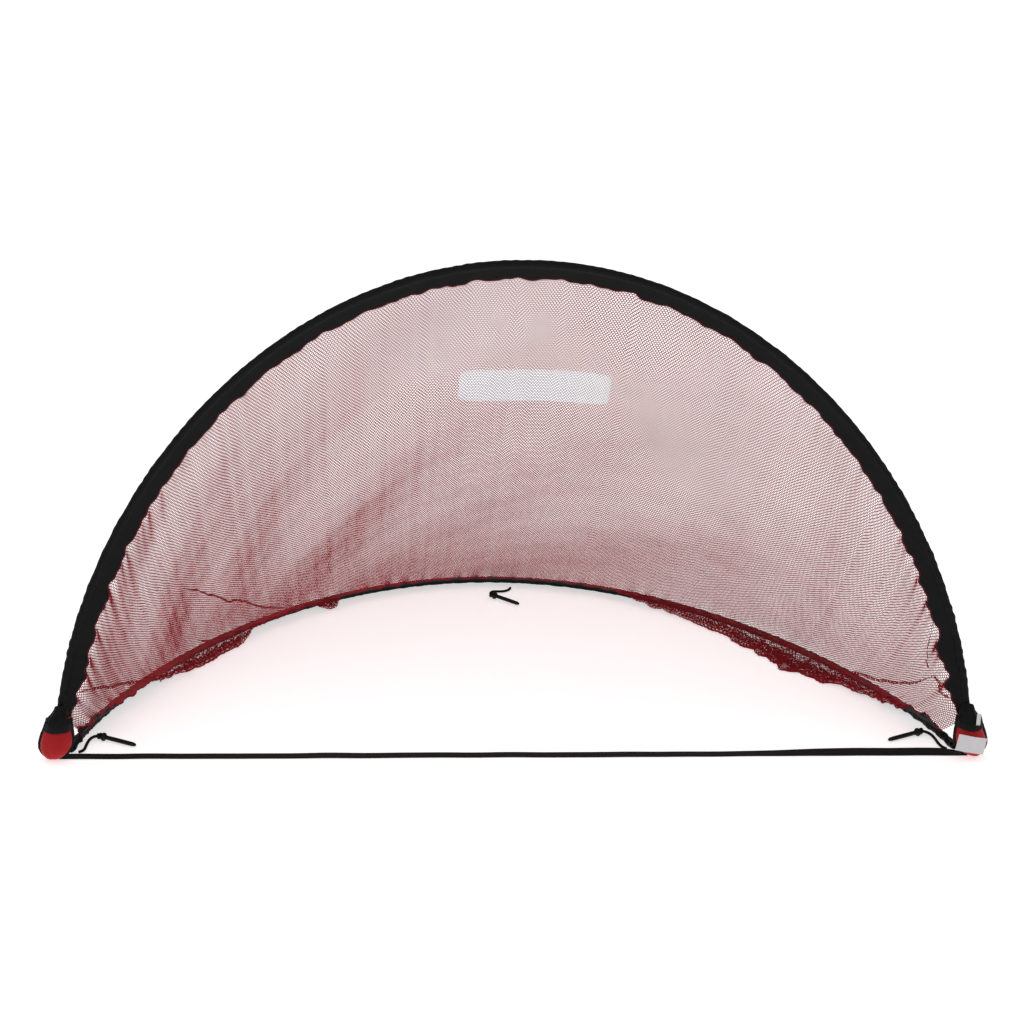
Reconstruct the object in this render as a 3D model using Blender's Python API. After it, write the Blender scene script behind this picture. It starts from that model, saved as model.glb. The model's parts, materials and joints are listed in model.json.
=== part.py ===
"""Half-moon training goal that folds flat.

Two sprung rod hoops meet at the two ends of the goal line. The base hoop lies on the ground behind
the line, and the arch hoop stands up from it and folds back down on to it. Each hoop runs in a
fabric sleeve, and one net is sewn between the two sleeves. A webbing strap joins the corners along
the goal line, a pouch closes each corner, and three short tethers each carry a ground peg.

Frame: +X along the goal line, +Y towards the back of the goal, +Z up. The origin is the middle of
the goal line, on the underside of the floor strap. Metres.
"""

import math

import bmesh
import bpy
import numpy as np
from mathutils import Matrix, Vector

# Hoops, measured on the rods' centre lines
GOAL_WIDTH = 1.770  # between the arch rod's two ends
ARCH_RISE = 0.935  # along the arch's own leaning plane
ARCH_SHAPE = 0.565  # 0.5 is a half ellipse, 1.0 is a parabola
ARCH_LEAN = math.radians(5.7)  # backwards from upright
BASE_RISE = 1.035  # depth of the base hoop
BASE_SHAPE = 0.72
BASE_INSET = 0.020  # base rod ends sit this far inside the arch rod ends
BASE_START = 0.018  # base rod ends sit this far behind the hinge line
HINGE_HEIGHT = 0.020
HOOP_SEGMENTS = 44

# Rods, joined by a ferrule at the top of each hoop
ROD_RADIUS = 0.0035
ROD_SIDES = 8
ROD_GAP = 0.001  # between the two half rods inside the ferrule
FERRULE_LENGTH = 0.060
FERRULE_RADIUS = 0.0050
FERRULE_CLEARANCE = 0.0003
CAP_LENGTH = 0.018
CAP_RADIUS = 0.0055
CAP_CLEARANCE = 0.0006
CAP_END_WALL = 0.0035
CAP_NOSE_RADIUS = 0.0038
CAP_NOSE_LENGTH = 0.0021
TURNED_SIDES = 16

# Sleeves: a tube round the rod, with a flap towards the net
SLEEVE_RADIUS = 0.0075
SLEEVE_WALL = 0.0015
SLEEVE_SIDES = 8  # corners round the tube, outside the flap
SLIT_ANGLE = 40  # degrees from the flap's middle to where the round of the tube starts
FLAP_REACH = 0.036  # from the rod's centre line to the flap's edge
FLAP_CORNER_REACH = 0.009  # the same, gathered into the corner
FLAP_THICKNESS = 0.003
FLAP_TILT = math.radians(32)  # of the arch's flap towards the net, at the top of the arch
SLEEVE_START = 0.020  # bare rod between a hoop's end and its sleeve
TAPER_START = 0.040
ARCH_TAPER_END = 0.140
BASE_TAPER_END = 0.200

# Net
NET_THICKNESS = 0.0016
NET_CORNER = 0.055  # the net starts this far up the arch from each corner
NET_SAG = 0.09  # share of its own span
NET_SAG_PLACE = 0.42
NET_GAP = 0.0012  # from each flap's edge
NET_ROWS = 10

# Corner pouches
POUCH_OFFSET = 0.009  # outwards from the arch rod's end
POUCH_HALF_WIDTH = 0.030
POUCH_HEIGHT = 0.115
POUCH_DEPTH_TOP = 0.018
POUCH_DEPTH_BOTTOM = 0.046
POUCH_RIM = -0.006  # the open back edge, in front of the hinge line
POUCH_WALL = 0.0012
POUCH_TURNS = 12  # steps round the pouch's front
POUCH_ROWS = 6  # in its rounded bottom, and again above it
POUCH_LOWEST_ROW = 0.0009
BINDING_RADIUS = 0.003
BINDING_CORNER = 0.069  # up the straight part of the pouch's edge
BAND_HEIGHT = 0.058  # middle of the webbing band across the pouch
BAND_WIDTH = 0.016
BAND_END = 0.04  # share of the half turn left bare at each end
WEBBING_THICKNESS = 0.0016
CONTACT_GAP = 0.0003

# Floor strap, label and tag
STRAP_WIDTH = 0.025
LABEL_SIZE = (0.060, 0.0006, 0.038)
LABEL_INSET = 0.0145  # from the middle of the right pouch, towards the goal
LABEL_HEIGHT = 0.0335
LABEL_TILT = math.radians(10)
TAG_SIZE = (0.008, 0.0006, 0.024)
TAG_RISE = 0.006  # above the webbing band

# Tethers and pegs
TETHER_RADIUS = 0.003
PEG_LENGTH = 0.078
PEG_RADIUS = 0.0045
PEG_HEAD_RADIUS = 0.0085
PEG_HEAD_LENGTH = 0.009
PEG_HEAD_END_RADIUS = 0.0064
PEG_HEAD_BEVEL = 0.0027
PEG_TIP_LENGTH = 0.010
PEG_TIP_RADIUS = 0.0016
PEG_SIDES = 14
TETHER_POINTS = {
    "left": [
        (-0.8500, 0.0170, 0.0032),
        (-0.8445, 0.0225, 0.0032),
        (-0.8415, 0.0310, 0.0032),
        (-0.8405, 0.0410, 0.0034),
        (-0.8395, 0.0520, 0.0042),
        (-0.8378, 0.0630, 0.0056),
        (-0.8345, 0.0725, 0.0072),
        (-0.8290, 0.0795, 0.0084),
        (-0.8220, 0.0825, 0.0090),
        (-0.8145, 0.0815, 0.0090),
    ],
    "right": [
        (0.8500, 0.0170, 0.0032),
        (0.8450, 0.0240, 0.0032),
        (0.8420, 0.0340, 0.0032),
        (0.8405, 0.0450, 0.0034),
        (0.8395, 0.0570, 0.0042),
        (0.8378, 0.0690, 0.0056),
        (0.8345, 0.0795, 0.0072),
        (0.8290, 0.0875, 0.0084),
        (0.8220, 0.0920, 0.0090),
        (0.8145, 0.0920, 0.0090),
    ],
    "back": [
        (0.0490, 1.0030, 0.0032),
        (0.0455, 0.9930, 0.0032),
        (0.0390, 0.9840, 0.0032),
        (0.0300, 0.9780, 0.0034),
        (0.0205, 0.9745, 0.0042),
        (0.0115, 0.9705, 0.0056),
        (0.0040, 0.9640, 0.0072),
        (0.0000, 0.9550, 0.0084),
        (-0.0005, 0.9450, 0.0090),
        (0.0030, 0.9360, 0.0090),
    ],
}
PEG_TIPS = {
    "left": (-0.7450, 0.0465, 0.0050),
    "right": (0.7450, 0.0600, 0.0050),
    "back": (0.0610, 0.8830, 0.0050),
}

# Colour, roughness and metallic value of each material
FINISHES = {
    "sleeve_nylon": ((0.012, 0.012, 0.014), 0.62, 0.0),
    "net_polyester": ((0.55, 0.06, 0.09), 0.70, 0.0),
    "pouch_nylon": ((0.50, 0.02, 0.03), 0.55, 0.0),
    "webbing": ((0.014, 0.014, 0.015), 0.75, 0.0),
    "rod_fibreglass": ((0.04, 0.04, 0.045), 0.35, 0.0),
    "ferrule_steel": ((0.62, 0.62, 0.64), 0.30, 1.0),
    "cap_plastic": ((0.02, 0.02, 0.02), 0.50, 0.0),
    "peg_plastic": ((0.018, 0.018, 0.018), 0.45, 0.0),
    "label_satin": ((0.85, 0.85, 0.84), 0.60, 0.0),
}


def clear_scene():
    for item in list(bpy.data.objects):
        bpy.data.objects.remove(item, do_unlink=True)


def make_material(name):
    colour, roughness, metallic = FINISHES[name]
    material = bpy.data.materials.new(name)
    material.use_nodes = True
    shader = material.node_tree.nodes["Principled BSDF"]
    shader.inputs["Base Color"].default_value = (*colour, 1.0)
    shader.inputs["Roughness"].default_value = roughness
    shader.inputs["Metallic"].default_value = metallic
    return material


def add_object(name, mesh, material, parent=None, smooth_angle=40):
    item = bpy.data.objects.new(name, mesh)
    bpy.context.scene.collection.objects.link(item)
    item.parent = parent
    mesh.materials.append(material)
    mesh.shade_smooth()
    mesh.set_sharp_from_angle(angle=math.radians(smooth_angle))
    return item


def closed_mesh(name, bm):
    """Finish a bmesh with all its faces pointing out."""
    bmesh.ops.recalc_face_normals(bm, faces=bm.faces)
    mesh = bpy.data.meshes.new(name)
    bm.to_mesh(mesh)
    bm.free()
    return mesh


def smoothstep(value):
    value = min(max(value, 0.0), 1.0)
    return value * value * (3 - 2 * value)


class Hoop:
    """Stations along one hoop, as (along the hoop, across X, away from the hinge line, tangent)."""

    def __init__(self, half_width, rise, shape):
        angle = np.linspace(-math.pi / 2, math.pi / 2, 8001)
        across = half_width * np.sin(angle)
        away = rise * np.cos(angle).clip(0, 1) ** (2 * shape)
        steps = np.hypot(np.diff(across), np.diff(away))
        self.along = np.concatenate([[0.0], np.cumsum(steps)])
        self.across = across
        self.away = away
        self.length = float(self.along[-1])

    def point(self, distance):
        return (
            float(np.interp(distance, self.along, self.across)),
            float(np.interp(distance, self.along, self.away)),
        )

    def tangent(self, distance):
        reach = 0.004
        low = self.point(max(distance - reach, 0.0))
        high = self.point(min(distance + reach, self.length))
        step = Vector((high[0] - low[0], high[1] - low[1]))
        return step.normalized()

    def stations(self, start):
        """Even distances from start to the far end, with one straight span for the ferrule."""
        middle = self.length / 2
        near = middle - FERRULE_LENGTH / 2 - CAP_END_WALL
        first = np.linspace(start, near, HOOP_SEGMENTS // 2 + 1)
        last = [self.length - value for value in first[::-1]]
        return [float(value) for value in first] + [float(value) for value in last]


ARCH_HOOP = Hoop(GOAL_WIDTH / 2, ARCH_RISE, ARCH_SHAPE)
BASE_HOOP = Hoop(GOAL_WIDTH / 2 - BASE_INSET, BASE_RISE, BASE_SHAPE)


class Frame:
    """One hoop's rod centre line in space, with the direction of its sleeve's flap."""

    def __init__(self, hoop, origin, away_axis, plane_normal, tilt, taper_end):
        self.hoop = hoop
        self.origin = Vector(origin)
        self.away_axis = Vector(away_axis)
        self.plane_normal = Vector(plane_normal)
        self.tilt = tilt
        self.taper_end = taper_end

    def centre(self, distance):
        across, away = self.hoop.point(distance)
        return self.origin + Vector((across, 0, 0)) + self.away_axis * away

    def tangent(self, distance):
        step = self.hoop.tangent(distance)
        return Vector((step.x, 0, 0)) + self.away_axis * step.y

    def end_direction(self, side):
        """Along the straight bare stretch of rod, from its end towards its sleeve."""
        if side < 0:
            return (self.centre(SLEEVE_START) - self.centre(0.0)).normalized()
        length = self.hoop.length
        return (self.centre(length - SLEEVE_START) - self.centre(length)).normalized()

    def flap_axes(self, distance):
        """The direction in which the flap runs, and the direction square to its faces."""
        step = self.hoop.tangent(distance)
        inward = Vector((step.y, 0, 0)) - self.away_axis * step.x
        away = self.hoop.point(distance)[1]
        tilt = self.tilt * math.sqrt(away / self.hoop.away.max())
        along_flap = inward * math.cos(tilt) + self.plane_normal * math.sin(tilt)
        across_flap = self.plane_normal * math.cos(tilt) - inward * math.sin(tilt)
        return along_flap, across_flap

    def reach(self, distance):
        """How far the flap's edge is from the rod's centre line."""
        corner = min(distance, self.hoop.length - distance)
        share = smoothstep((corner - TAPER_START) / (self.taper_end - TAPER_START))
        return FLAP_CORNER_REACH + (FLAP_REACH - FLAP_CORNER_REACH) * share


# The arch's points are measured from its hinge empty, and the base's from the origin.
ARCH = Frame(
    ARCH_HOOP,
    (0, 0, 0),
    (0, math.sin(ARCH_LEAN), math.cos(ARCH_LEAN)),
    (0, math.cos(ARCH_LEAN), -math.sin(ARCH_LEAN)),
    FLAP_TILT,
    ARCH_TAPER_END,
)
BASE = Frame(
    BASE_HOOP,
    (0, BASE_START, SLEEVE_RADIUS),
    (0, 1, 0),
    (0, 0, 1),
    0.0,
    BASE_TAPER_END,
)
HINGE = Vector((0, 0, HINGE_HEIGHT))


def skin_rings(bm, rings):
    """Join rings of points, all of one size, into a tube with open ends, and return its verts."""
    made = [[bm.verts.new(point) for point in ring] for ring in rings]
    for ring, following in zip(made, made[1:]):
        for i in range(len(ring)):
            j = (i + 1) % len(ring)
            bm.faces.new((ring[i], ring[j], following[j], following[i]))
    return made


def cap_between(bm, outer, inner):
    """Close the end of a hollow tube with a ring of faces."""
    for i in range(len(outer)):
        j = (i + 1) % len(outer)
        bm.faces.new((outer[i], outer[j], inner[j], inner[i]))


def sleeve_section(frame, distance, flat_underside):
    """Outer and inner outlines of a sleeve at one station."""
    centre = frame.centre(distance)
    along_flap, across_flap = frame.flap_axes(distance)
    reach = frame.reach(distance)
    half = FLAP_THICKNESS / 2
    last_angle = 270 if flat_underside else 360 - SLIT_ANGLE
    angles = [math.radians(value) for value in np.linspace(SLIT_ANGLE, last_angle, SLEEVE_SIDES)]
    outline = [(SLEEVE_RADIUS * math.cos(a), SLEEVE_RADIUS * math.sin(a)) for a in angles]
    lowest = -SLEEVE_RADIUS if flat_underside else -half
    outline += [(reach, lowest), (reach, lowest + FLAP_THICKNESS)]
    cavity_angles = angles + [math.radians(-12), math.radians(12)]
    if flat_underside:
        cavity_angles = angles + [math.radians(-48), math.radians(-4)]
    cavity = SLEEVE_RADIUS - SLEEVE_WALL
    hollow = [(cavity * math.cos(a), cavity * math.sin(a)) for a in cavity_angles]
    place = [
        [centre + along_flap * p + across_flap * q for p, q in points]
        for points in (outline, hollow)
    ]
    return place[0], place[1]


def build_sleeve(name, frame, flat_underside, material, parent=None):
    bm = bmesh.new()
    sections = [
        sleeve_section(frame, distance, flat_underside)
        for distance in frame.hoop.stations(SLEEVE_START)
    ]
    outer = skin_rings(bm, [section[0] for section in sections])
    inner = skin_rings(bm, [section[1] for section in sections])
    cap_between(bm, outer[0], inner[0])
    cap_between(bm, outer[-1], inner[-1])
    return add_object(name, closed_mesh(name, bm), material, parent)


def round_ring(centre, tangent, across, radius, sides):
    other = tangent.cross(across)
    return [
        centre + (across * math.cos(a) + other * math.sin(a)) * radius
        for a in (2 * math.pi * i / sides for i in range(sides))
    ]


def build_rod(name, frame, side, material, parent=None):
    """One half rod, from its end on the hinge line to the middle of the ferrule."""
    hoop = frame.hoop
    stations = [0.0] + hoop.stations(SLEEVE_START)[: HOOP_SEGMENTS // 2 + 1]
    if side > 0:
        stations = [hoop.length - value for value in stations]
    near = stations[-1]
    far = hoop.length - near
    middle = (frame.centre(near) + frame.centre(far)) / 2
    tip = middle + (frame.centre(near) - middle).normalized() * ROD_GAP / 2
    centres = [frame.centre(value) for value in stations] + [tip]
    tangents = [frame.tangent(value) for value in stations]
    tangents[0] = frame.end_direction(side) * -side
    tangents.append((middle - frame.centre(near)).normalized() * side * -1)
    rings = [
        round_ring(centre, tangent, frame.plane_normal, ROD_RADIUS, ROD_SIDES)
        for centre, tangent in zip(centres, tangents)
    ]
    bm = bmesh.new()
    made = skin_rings(bm, rings)
    bm.faces.new(made[0])
    bm.faces.new(made[-1])
    return add_object(name, closed_mesh(name, bm), material, parent)


def turned_mesh(name, outline, sides=TURNED_SIDES):
    """Turn an outline of (radius, height) points about local Z. Points at radius 0 close it."""
    bm = bmesh.new()
    rings = []
    for radius, height in outline:
        if radius == 0:
            rings.append([bm.verts.new((0, 0, height))])
            continue
        turns = (2 * math.pi * i / sides for i in range(sides))
        rings.append(
            [bm.verts.new((radius * math.cos(a), radius * math.sin(a), height)) for a in turns]
        )
    closed = outline[0][0] != 0
    pairs = list(zip(rings, rings[1:] + rings[:1] if closed else rings[1:]))
    for ring, following in pairs:
        for i in range(sides):
            j = (i + 1) % sides
            corners = [ring[i % len(ring)], ring[j % len(ring)]]
            corners += [following[j % len(following)], following[i % len(following)]]
            bm.faces.new(list(dict.fromkeys(corners)))
    return closed_mesh(name, bm)


def aim(item, place, direction):
    """Put an object's local +Z along a direction, at a place."""
    item.location = place
    item.rotation_euler = Vector(direction).to_track_quat("Z", "Y").to_euler()


def build_ferrule(name, frame, material, parent=None):
    hoop = frame.hoop
    near = hoop.stations(SLEEVE_START)[HOOP_SEGMENTS // 2]
    ends = frame.centre(near), frame.centre(hoop.length - near)
    bore = ROD_RADIUS + FERRULE_CLEARANCE
    half = FERRULE_LENGTH / 2
    outline = [(FERRULE_RADIUS, -half), (FERRULE_RADIUS, half), (bore, half), (bore, -half)]
    item = add_object(name, turned_mesh(name, outline), material, parent)
    aim(item, (ends[0] + ends[1]) / 2, ends[1] - ends[0])
    return item


def build_cap(name, frame, side, material, parent=None):
    """A plastic cup over the end of a rod."""
    hoop = frame.hoop
    end = 0.0 if side < 0 else hoop.length
    bore = ROD_RADIUS + CAP_CLEARANCE
    floor = -CONTACT_GAP
    mouth = CAP_LENGTH - CAP_END_WALL
    outline = [
        (0, floor - CAP_END_WALL),
        (CAP_NOSE_RADIUS, floor - CAP_END_WALL),
        (CAP_RADIUS, floor - CAP_END_WALL + CAP_NOSE_LENGTH),
        (CAP_RADIUS, mouth),
        (bore, mouth),
        (bore, floor),
        (0, floor),
    ]
    item = add_object(name, turned_mesh(name, outline), material, parent)
    aim(item, frame.centre(end), frame.end_direction(side))
    return item


def build_net(material):
    """A thin shell from the arch flap's edge down to the base flap's edge."""
    pairs = zip(ARCH_HOOP.stations(SLEEVE_START), BASE_HOOP.stations(SLEEVE_START))
    curves = [
        net_curve(arch_at, base_at)
        for arch_at, base_at in pairs
        if NET_CORNER < arch_at < ARCH_HOOP.length - NET_CORNER
    ]
    shares = [row / NET_ROWS for row in range(NET_ROWS + 1)]
    front = [[curve(share) for share in shares] for curve in curves]
    back = [
        [point + net_normal(front, i, j) * NET_THICKNESS for j, point in enumerate(column)]
        for i, column in enumerate(front)
    ]
    return thick_sheet("net", front, back, material)


def net_curve(arch_at, base_at):
    """The net's line from one place on the arch to one place on the base."""
    arch_flap = ARCH.flap_axes(arch_at)[0]
    base_flap = BASE.flap_axes(base_at)[0]
    top = HINGE + ARCH.centre(arch_at) + arch_flap * (ARCH.reach(arch_at) + NET_GAP)
    bottom = BASE.centre(base_at) + base_flap * (BASE.reach(base_at) + NET_GAP)
    bottom.z = NET_GAP
    span = bottom - top
    hang = Vector((0, span.z, -span.y)).normalized() * span.length * NET_SAG
    pull = top + span * NET_SAG_PLACE + hang

    def at(t):
        return top * (1 - t) ** 2 + pull * (2 * t * (1 - t)) + bottom * t**2

    return at


def net_normal(grid, i, j):
    """The net's outward direction, up and back, at one point of its grid."""
    side = grid[min(i + 1, len(grid) - 1)][j] - grid[max(i - 1, 0)][j]
    down = grid[i][min(j + 1, NET_ROWS)] - grid[i][max(j - 1, 0)]
    return side.cross(down).normalized() * -1


def pouch_point(side, height, turn, growth=0.0):
    """A point of the pouch's wall. turn runs from 0, inner back edge, to pi, outer back edge."""
    round_part = min(height / POUCH_HALF_WIDTH, 1.0)
    width_share = math.sqrt(max(1 - (1 - round_part) ** 2, 0.0))
    lean = 1 - height / POUCH_HEIGHT
    depth = POUCH_DEPTH_TOP + (POUCH_DEPTH_BOTTOM - POUCH_DEPTH_TOP) * lean
    centre = side * (GOAL_WIDTH / 2 + POUCH_OFFSET)
    half = POUCH_HALF_WIDTH * width_share + growth
    x = centre - side * half * math.cos(turn)
    y = POUCH_RIM - (depth * width_share + growth) * math.sin(turn)
    return Vector((x, y, pouch_bottom() + height))


def pouch_bottom():
    """The pouch stands on the end of the floor strap."""
    return WEBBING_THICKNESS + 2 * CONTACT_GAP


def thick_sheet(name, rows, other_rows, material):
    """A solid between two matching grids of points."""
    bm = bmesh.new()
    near = [[bm.verts.new(point) for point in row] for row in rows]
    far = [[bm.verts.new(point) for point in row] for row in other_rows]
    for grid in (near, far):
        for row, following in zip(grid, grid[1:]):
            for j in range(len(row) - 1):
                bm.faces.new((row[j], row[j + 1], following[j + 1], following[j]))
    last = len(rows[0]) - 1
    border = [(0, j) for j in range(last + 1)] + [(i, last) for i in range(1, len(rows))]
    border += [(len(rows) - 1, j) for j in range(last - 1, -1, -1)]
    border += [(i, 0) for i in range(len(rows) - 2, 0, -1)]
    for here, there in zip(border, border[1:] + border[:1]):
        a, b = near[here[0]][here[1]], near[there[0]][there[1]]
        c, d = far[there[0]][there[1]], far[here[0]][here[1]]
        bm.faces.new((a, b, c, d))
    return add_object(name, closed_mesh(name, bm), material)


def build_pouch(name, side, material):
    turns = [math.pi * i / POUCH_TURNS for i in range(POUCH_TURNS + 1)]
    round_part = POUCH_HALF_WIDTH - POUCH_LOWEST_ROW
    crowded = [(i / POUCH_ROWS) ** 1.5 for i in range(POUCH_ROWS)]  # closer together near the floor
    upper = np.linspace(POUCH_HALF_WIDTH, POUCH_HEIGHT, POUCH_ROWS)
    heights = [POUCH_LOWEST_ROW + round_part * share for share in crowded]
    heights += [float(value) for value in upper]
    outer = [[pouch_point(side, h, t) for t in turns] for h in heights]
    inner = [[pouch_point(side, h, t, -POUCH_WALL) for t in turns] for h in heights]
    return thick_sheet(name, outer, inner, material)


def build_binding(name, side, material):
    """A round edge binding that follows the pouch's open back edge."""
    radius = POUCH_HALF_WIDTH
    centre_x = side * (GOAL_WIDTH / 2 + POUCH_OFFSET)
    bottom = pouch_bottom() + BINDING_RADIUS
    y = POUCH_RIM + BINDING_RADIUS + CONTACT_GAP
    path = [(-radius, POUCH_HEIGHT - BINDING_RADIUS), (-radius, BINDING_CORNER)]
    turns = (math.pi * i / POUCH_TURNS for i in range(POUCH_TURNS + 1))
    path += [(-radius * math.cos(a), radius * (1 - math.sin(a))) for a in turns]
    path += [(radius, BINDING_CORNER), (radius, POUCH_HEIGHT - BINDING_RADIUS)]
    points = [(centre_x + x, y, bottom + z) for x, z in path]
    return build_tube(name, points, BINDING_RADIUS, material, smoothing=1)


def build_tube(name, points, radius, material, smoothing=2):
    """A round tube through a list of points, rounded between them by a smooth curve."""
    curve = bpy.data.curves.new(name, "CURVE")
    curve.dimensions = "3D"
    curve.bevel_depth = radius
    curve.bevel_resolution = 2
    curve.resolution_u = 1
    curve.use_fill_caps = True
    fine = smooth_path([Vector(point) for point in points], smoothing)
    spline = curve.splines.new("POLY")
    spline.points.add(len(fine) - 1)
    for target, point in zip(spline.points, fine):
        target.co = (*point, 1.0)
    item = bpy.data.objects.new(name, curve)
    bpy.context.scene.collection.objects.link(item)
    curve.materials.append(material)
    return item


def smooth_path(points, per_span):
    """Points of a Catmull-Rom curve through the given points."""
    ends = [points[0] * 2 - points[1]] + points + [points[-1] * 2 - points[-2]]
    fine = []
    for a, b, c, d in zip(ends, ends[1:], ends[2:], ends[3:]):
        for k in range(per_span):
            t = k / per_span
            bend = a * (-t + 2 * t**2 - t**3) + b * (2 - 5 * t**2 + 3 * t**3)
            bend += c * (t + 4 * t**2 - 3 * t**3) + d * (t**3 - t**2)
            fine.append(bend / 2)
    return fine + [points[-1]]


def build_band(name, side, material):
    """A webbing band round the front of a pouch."""
    covered = 1 - 2 * BAND_END
    turns = [math.pi * (BAND_END + covered * i / POUCH_TURNS) for i in range(POUCH_TURNS + 1)]
    low, high = BAND_HEIGHT - BAND_WIDTH / 2, BAND_HEIGHT + BAND_WIDTH / 2
    heights = (low, high)
    near = [[pouch_point(side, h, t, CONTACT_GAP) for t in turns] for h in heights]
    growth = CONTACT_GAP + WEBBING_THICKNESS
    far = [[pouch_point(side, h, t, growth) for t in turns] for h in heights]
    return thick_sheet(name, near, far, material)


def build_box(name, size, place, material, tilt=0.0):
    bm = bmesh.new()
    bmesh.ops.create_cube(bm, size=1.0, matrix=Matrix.Diagonal((*size, 1.0)))
    item = add_object(name, closed_mesh(name, bm), material)
    item.location = place
    item.rotation_euler = (0, tilt, 0)
    return item


def build_floor_strap(material):
    size = (GOAL_WIDTH, STRAP_WIDTH, WEBBING_THICKNESS)
    return build_box("floor_strap", size, (0, 0, WEBBING_THICKNESS / 2), material)


def build_labels(material):
    """The care label on the right pouch, and a small size tag above the pouch's band."""
    across = GOAL_WIDTH / 2 + POUCH_OFFSET - LABEL_INSET
    label_place = (across, POUCH_RIM - POUCH_DEPTH_BOTTOM, LABEL_HEIGHT)
    build_box("care_label", LABEL_SIZE, label_place, material, LABEL_TILT)
    height = BAND_HEIGHT + BAND_WIDTH / 2 + TAG_RISE + TAG_SIZE[2] / 2
    front = pouch_point(1, height - TAG_SIZE[2] / 2, math.pi / 2)
    offset = TAG_SIZE[1] / 2 + 2 * CONTACT_GAP
    place = (front.x, front.y - offset, height + pouch_bottom())
    build_box("size_tag", TAG_SIZE, place, material)


def build_peg(name, head, tip, material):
    """A headed plastic peg that lies on the ground. Local +Z runs from its head to its tip."""
    outline = [
        (0, 0),
        (PEG_HEAD_END_RADIUS, 0),
        (PEG_HEAD_RADIUS, PEG_HEAD_BEVEL),
        (PEG_HEAD_RADIUS, PEG_HEAD_LENGTH - PEG_HEAD_BEVEL),
        (PEG_RADIUS, PEG_HEAD_LENGTH),
        (PEG_RADIUS, PEG_LENGTH - PEG_TIP_LENGTH),
        (PEG_TIP_RADIUS, PEG_LENGTH),
        (0, PEG_LENGTH),
    ]
    item = add_object(name, turned_mesh(name, outline, PEG_SIDES), material)
    aim(item, head, Vector(tip) - Vector(head))
    return item


def build_tethers(cord_material, peg_material):
    for side, points in TETHER_POINTS.items():
        end = Vector(points[-1])
        tip = Vector(PEG_TIPS[side])
        build_tube(f"tether_{side}", points, TETHER_RADIUS, cord_material)
        along = (tip - end).normalized()
        bend = along.angle(end - Vector(points[-2]))
        head = end + along * (CONTACT_GAP + TETHER_RADIUS * math.sin(bend))
        build_peg(f"ground_peg_{side}", head, tip, peg_material)


def build_hoop(kind, frame, flat_underside, materials, parent=None):
    build_sleeve(f"{kind}_sleeve", frame, flat_underside, materials["sleeve_nylon"], parent)
    build_ferrule(f"{kind}_ferrule", frame, materials["ferrule_steel"], parent)
    for side, word in ((-1, "left"), (1, "right")):
        build_rod(f"{kind}_rod_{word}", frame, side, materials["rod_fibreglass"], parent)
        build_cap(f"{kind}_rod_cap_{word}", frame, side, materials["cap_plastic"], parent)


def main():
    clear_scene()
    materials = {name: make_material(name) for name in FINISHES}
    hinge = bpy.data.objects.new("arch_hinge", None)
    hinge.location = HINGE
    bpy.context.scene.collection.objects.link(hinge)
    build_hoop("arch", ARCH, False, materials, parent=hinge)
    build_hoop("base", BASE, True, materials)
    build_net(materials["net_polyester"])
    for side, word in ((-1, "left"), (1, "right")):
        build_pouch(f"corner_pocket_{word}", side, materials["pouch_nylon"])
        build_binding(f"pocket_binding_{word}", side, materials["webbing"])
        build_band(f"pocket_band_{word}", side, materials["webbing"])
    build_floor_strap(materials["webbing"])
    build_labels(materials["label_satin"])
    build_tethers(materials["webbing"], materials["peg_plastic"])


main()
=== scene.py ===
"""Looks of the half-moon training goal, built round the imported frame. Metres, +Z up.

The net, the two sleeves, the pouches and all the small soft goods are modelled here. The rods,
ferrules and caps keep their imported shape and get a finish.
"""

import json
import math

import bmesh
import bpy
import numpy as np
from mathutils import Matrix, Vector


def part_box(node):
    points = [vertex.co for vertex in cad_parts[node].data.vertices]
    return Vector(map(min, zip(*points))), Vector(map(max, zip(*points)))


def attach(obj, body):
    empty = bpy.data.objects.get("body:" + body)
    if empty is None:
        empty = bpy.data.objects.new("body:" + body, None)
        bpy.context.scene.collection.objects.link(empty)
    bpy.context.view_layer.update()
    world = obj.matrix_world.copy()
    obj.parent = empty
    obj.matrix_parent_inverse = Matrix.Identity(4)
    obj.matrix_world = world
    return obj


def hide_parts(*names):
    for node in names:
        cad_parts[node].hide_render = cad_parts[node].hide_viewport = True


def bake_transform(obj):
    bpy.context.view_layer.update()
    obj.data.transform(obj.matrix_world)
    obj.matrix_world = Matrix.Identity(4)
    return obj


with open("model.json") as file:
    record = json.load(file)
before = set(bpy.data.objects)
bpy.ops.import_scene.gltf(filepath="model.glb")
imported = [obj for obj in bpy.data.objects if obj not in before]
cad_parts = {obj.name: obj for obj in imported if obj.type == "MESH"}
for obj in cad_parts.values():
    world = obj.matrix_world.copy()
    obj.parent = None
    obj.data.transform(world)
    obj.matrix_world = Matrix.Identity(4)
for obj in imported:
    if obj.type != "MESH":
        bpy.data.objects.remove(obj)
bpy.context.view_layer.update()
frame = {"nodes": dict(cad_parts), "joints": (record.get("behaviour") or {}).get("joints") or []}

# Camera
CAMERA_PLACE = (-0.325, -4.0, 1.702)
CAMERA_PITCH = math.radians(16.75)    # downwards
CAMERA_YAW = math.radians(4.27)       # towards +X
CAMERA_ROLL = math.radians(1.45)
CAMERA_LENS = 78.2
CAMERA_SENSOR = 36.0

# Studio
WORLD_STRENGTH = 0.54
FLOOR_GLOW = 0.58
FLOOR_HALF = 30.0
FLOOR_DROP = 0.0004           # how far the floor lies below the goal's lowest point
LIGHTS_TARGET = (0, 0.4, 0.3)
LIGHTS = {
    # (place, size, power)
    "key_light": ((-1.8, -2.6, 3.6), 2.2, 20),
    "fill_light": ((2.6, -1.6, 2.6), 2.6, 8),
    "rear_light": ((0.3, 3.6, 3.2), 2.4, 10),
}

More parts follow.
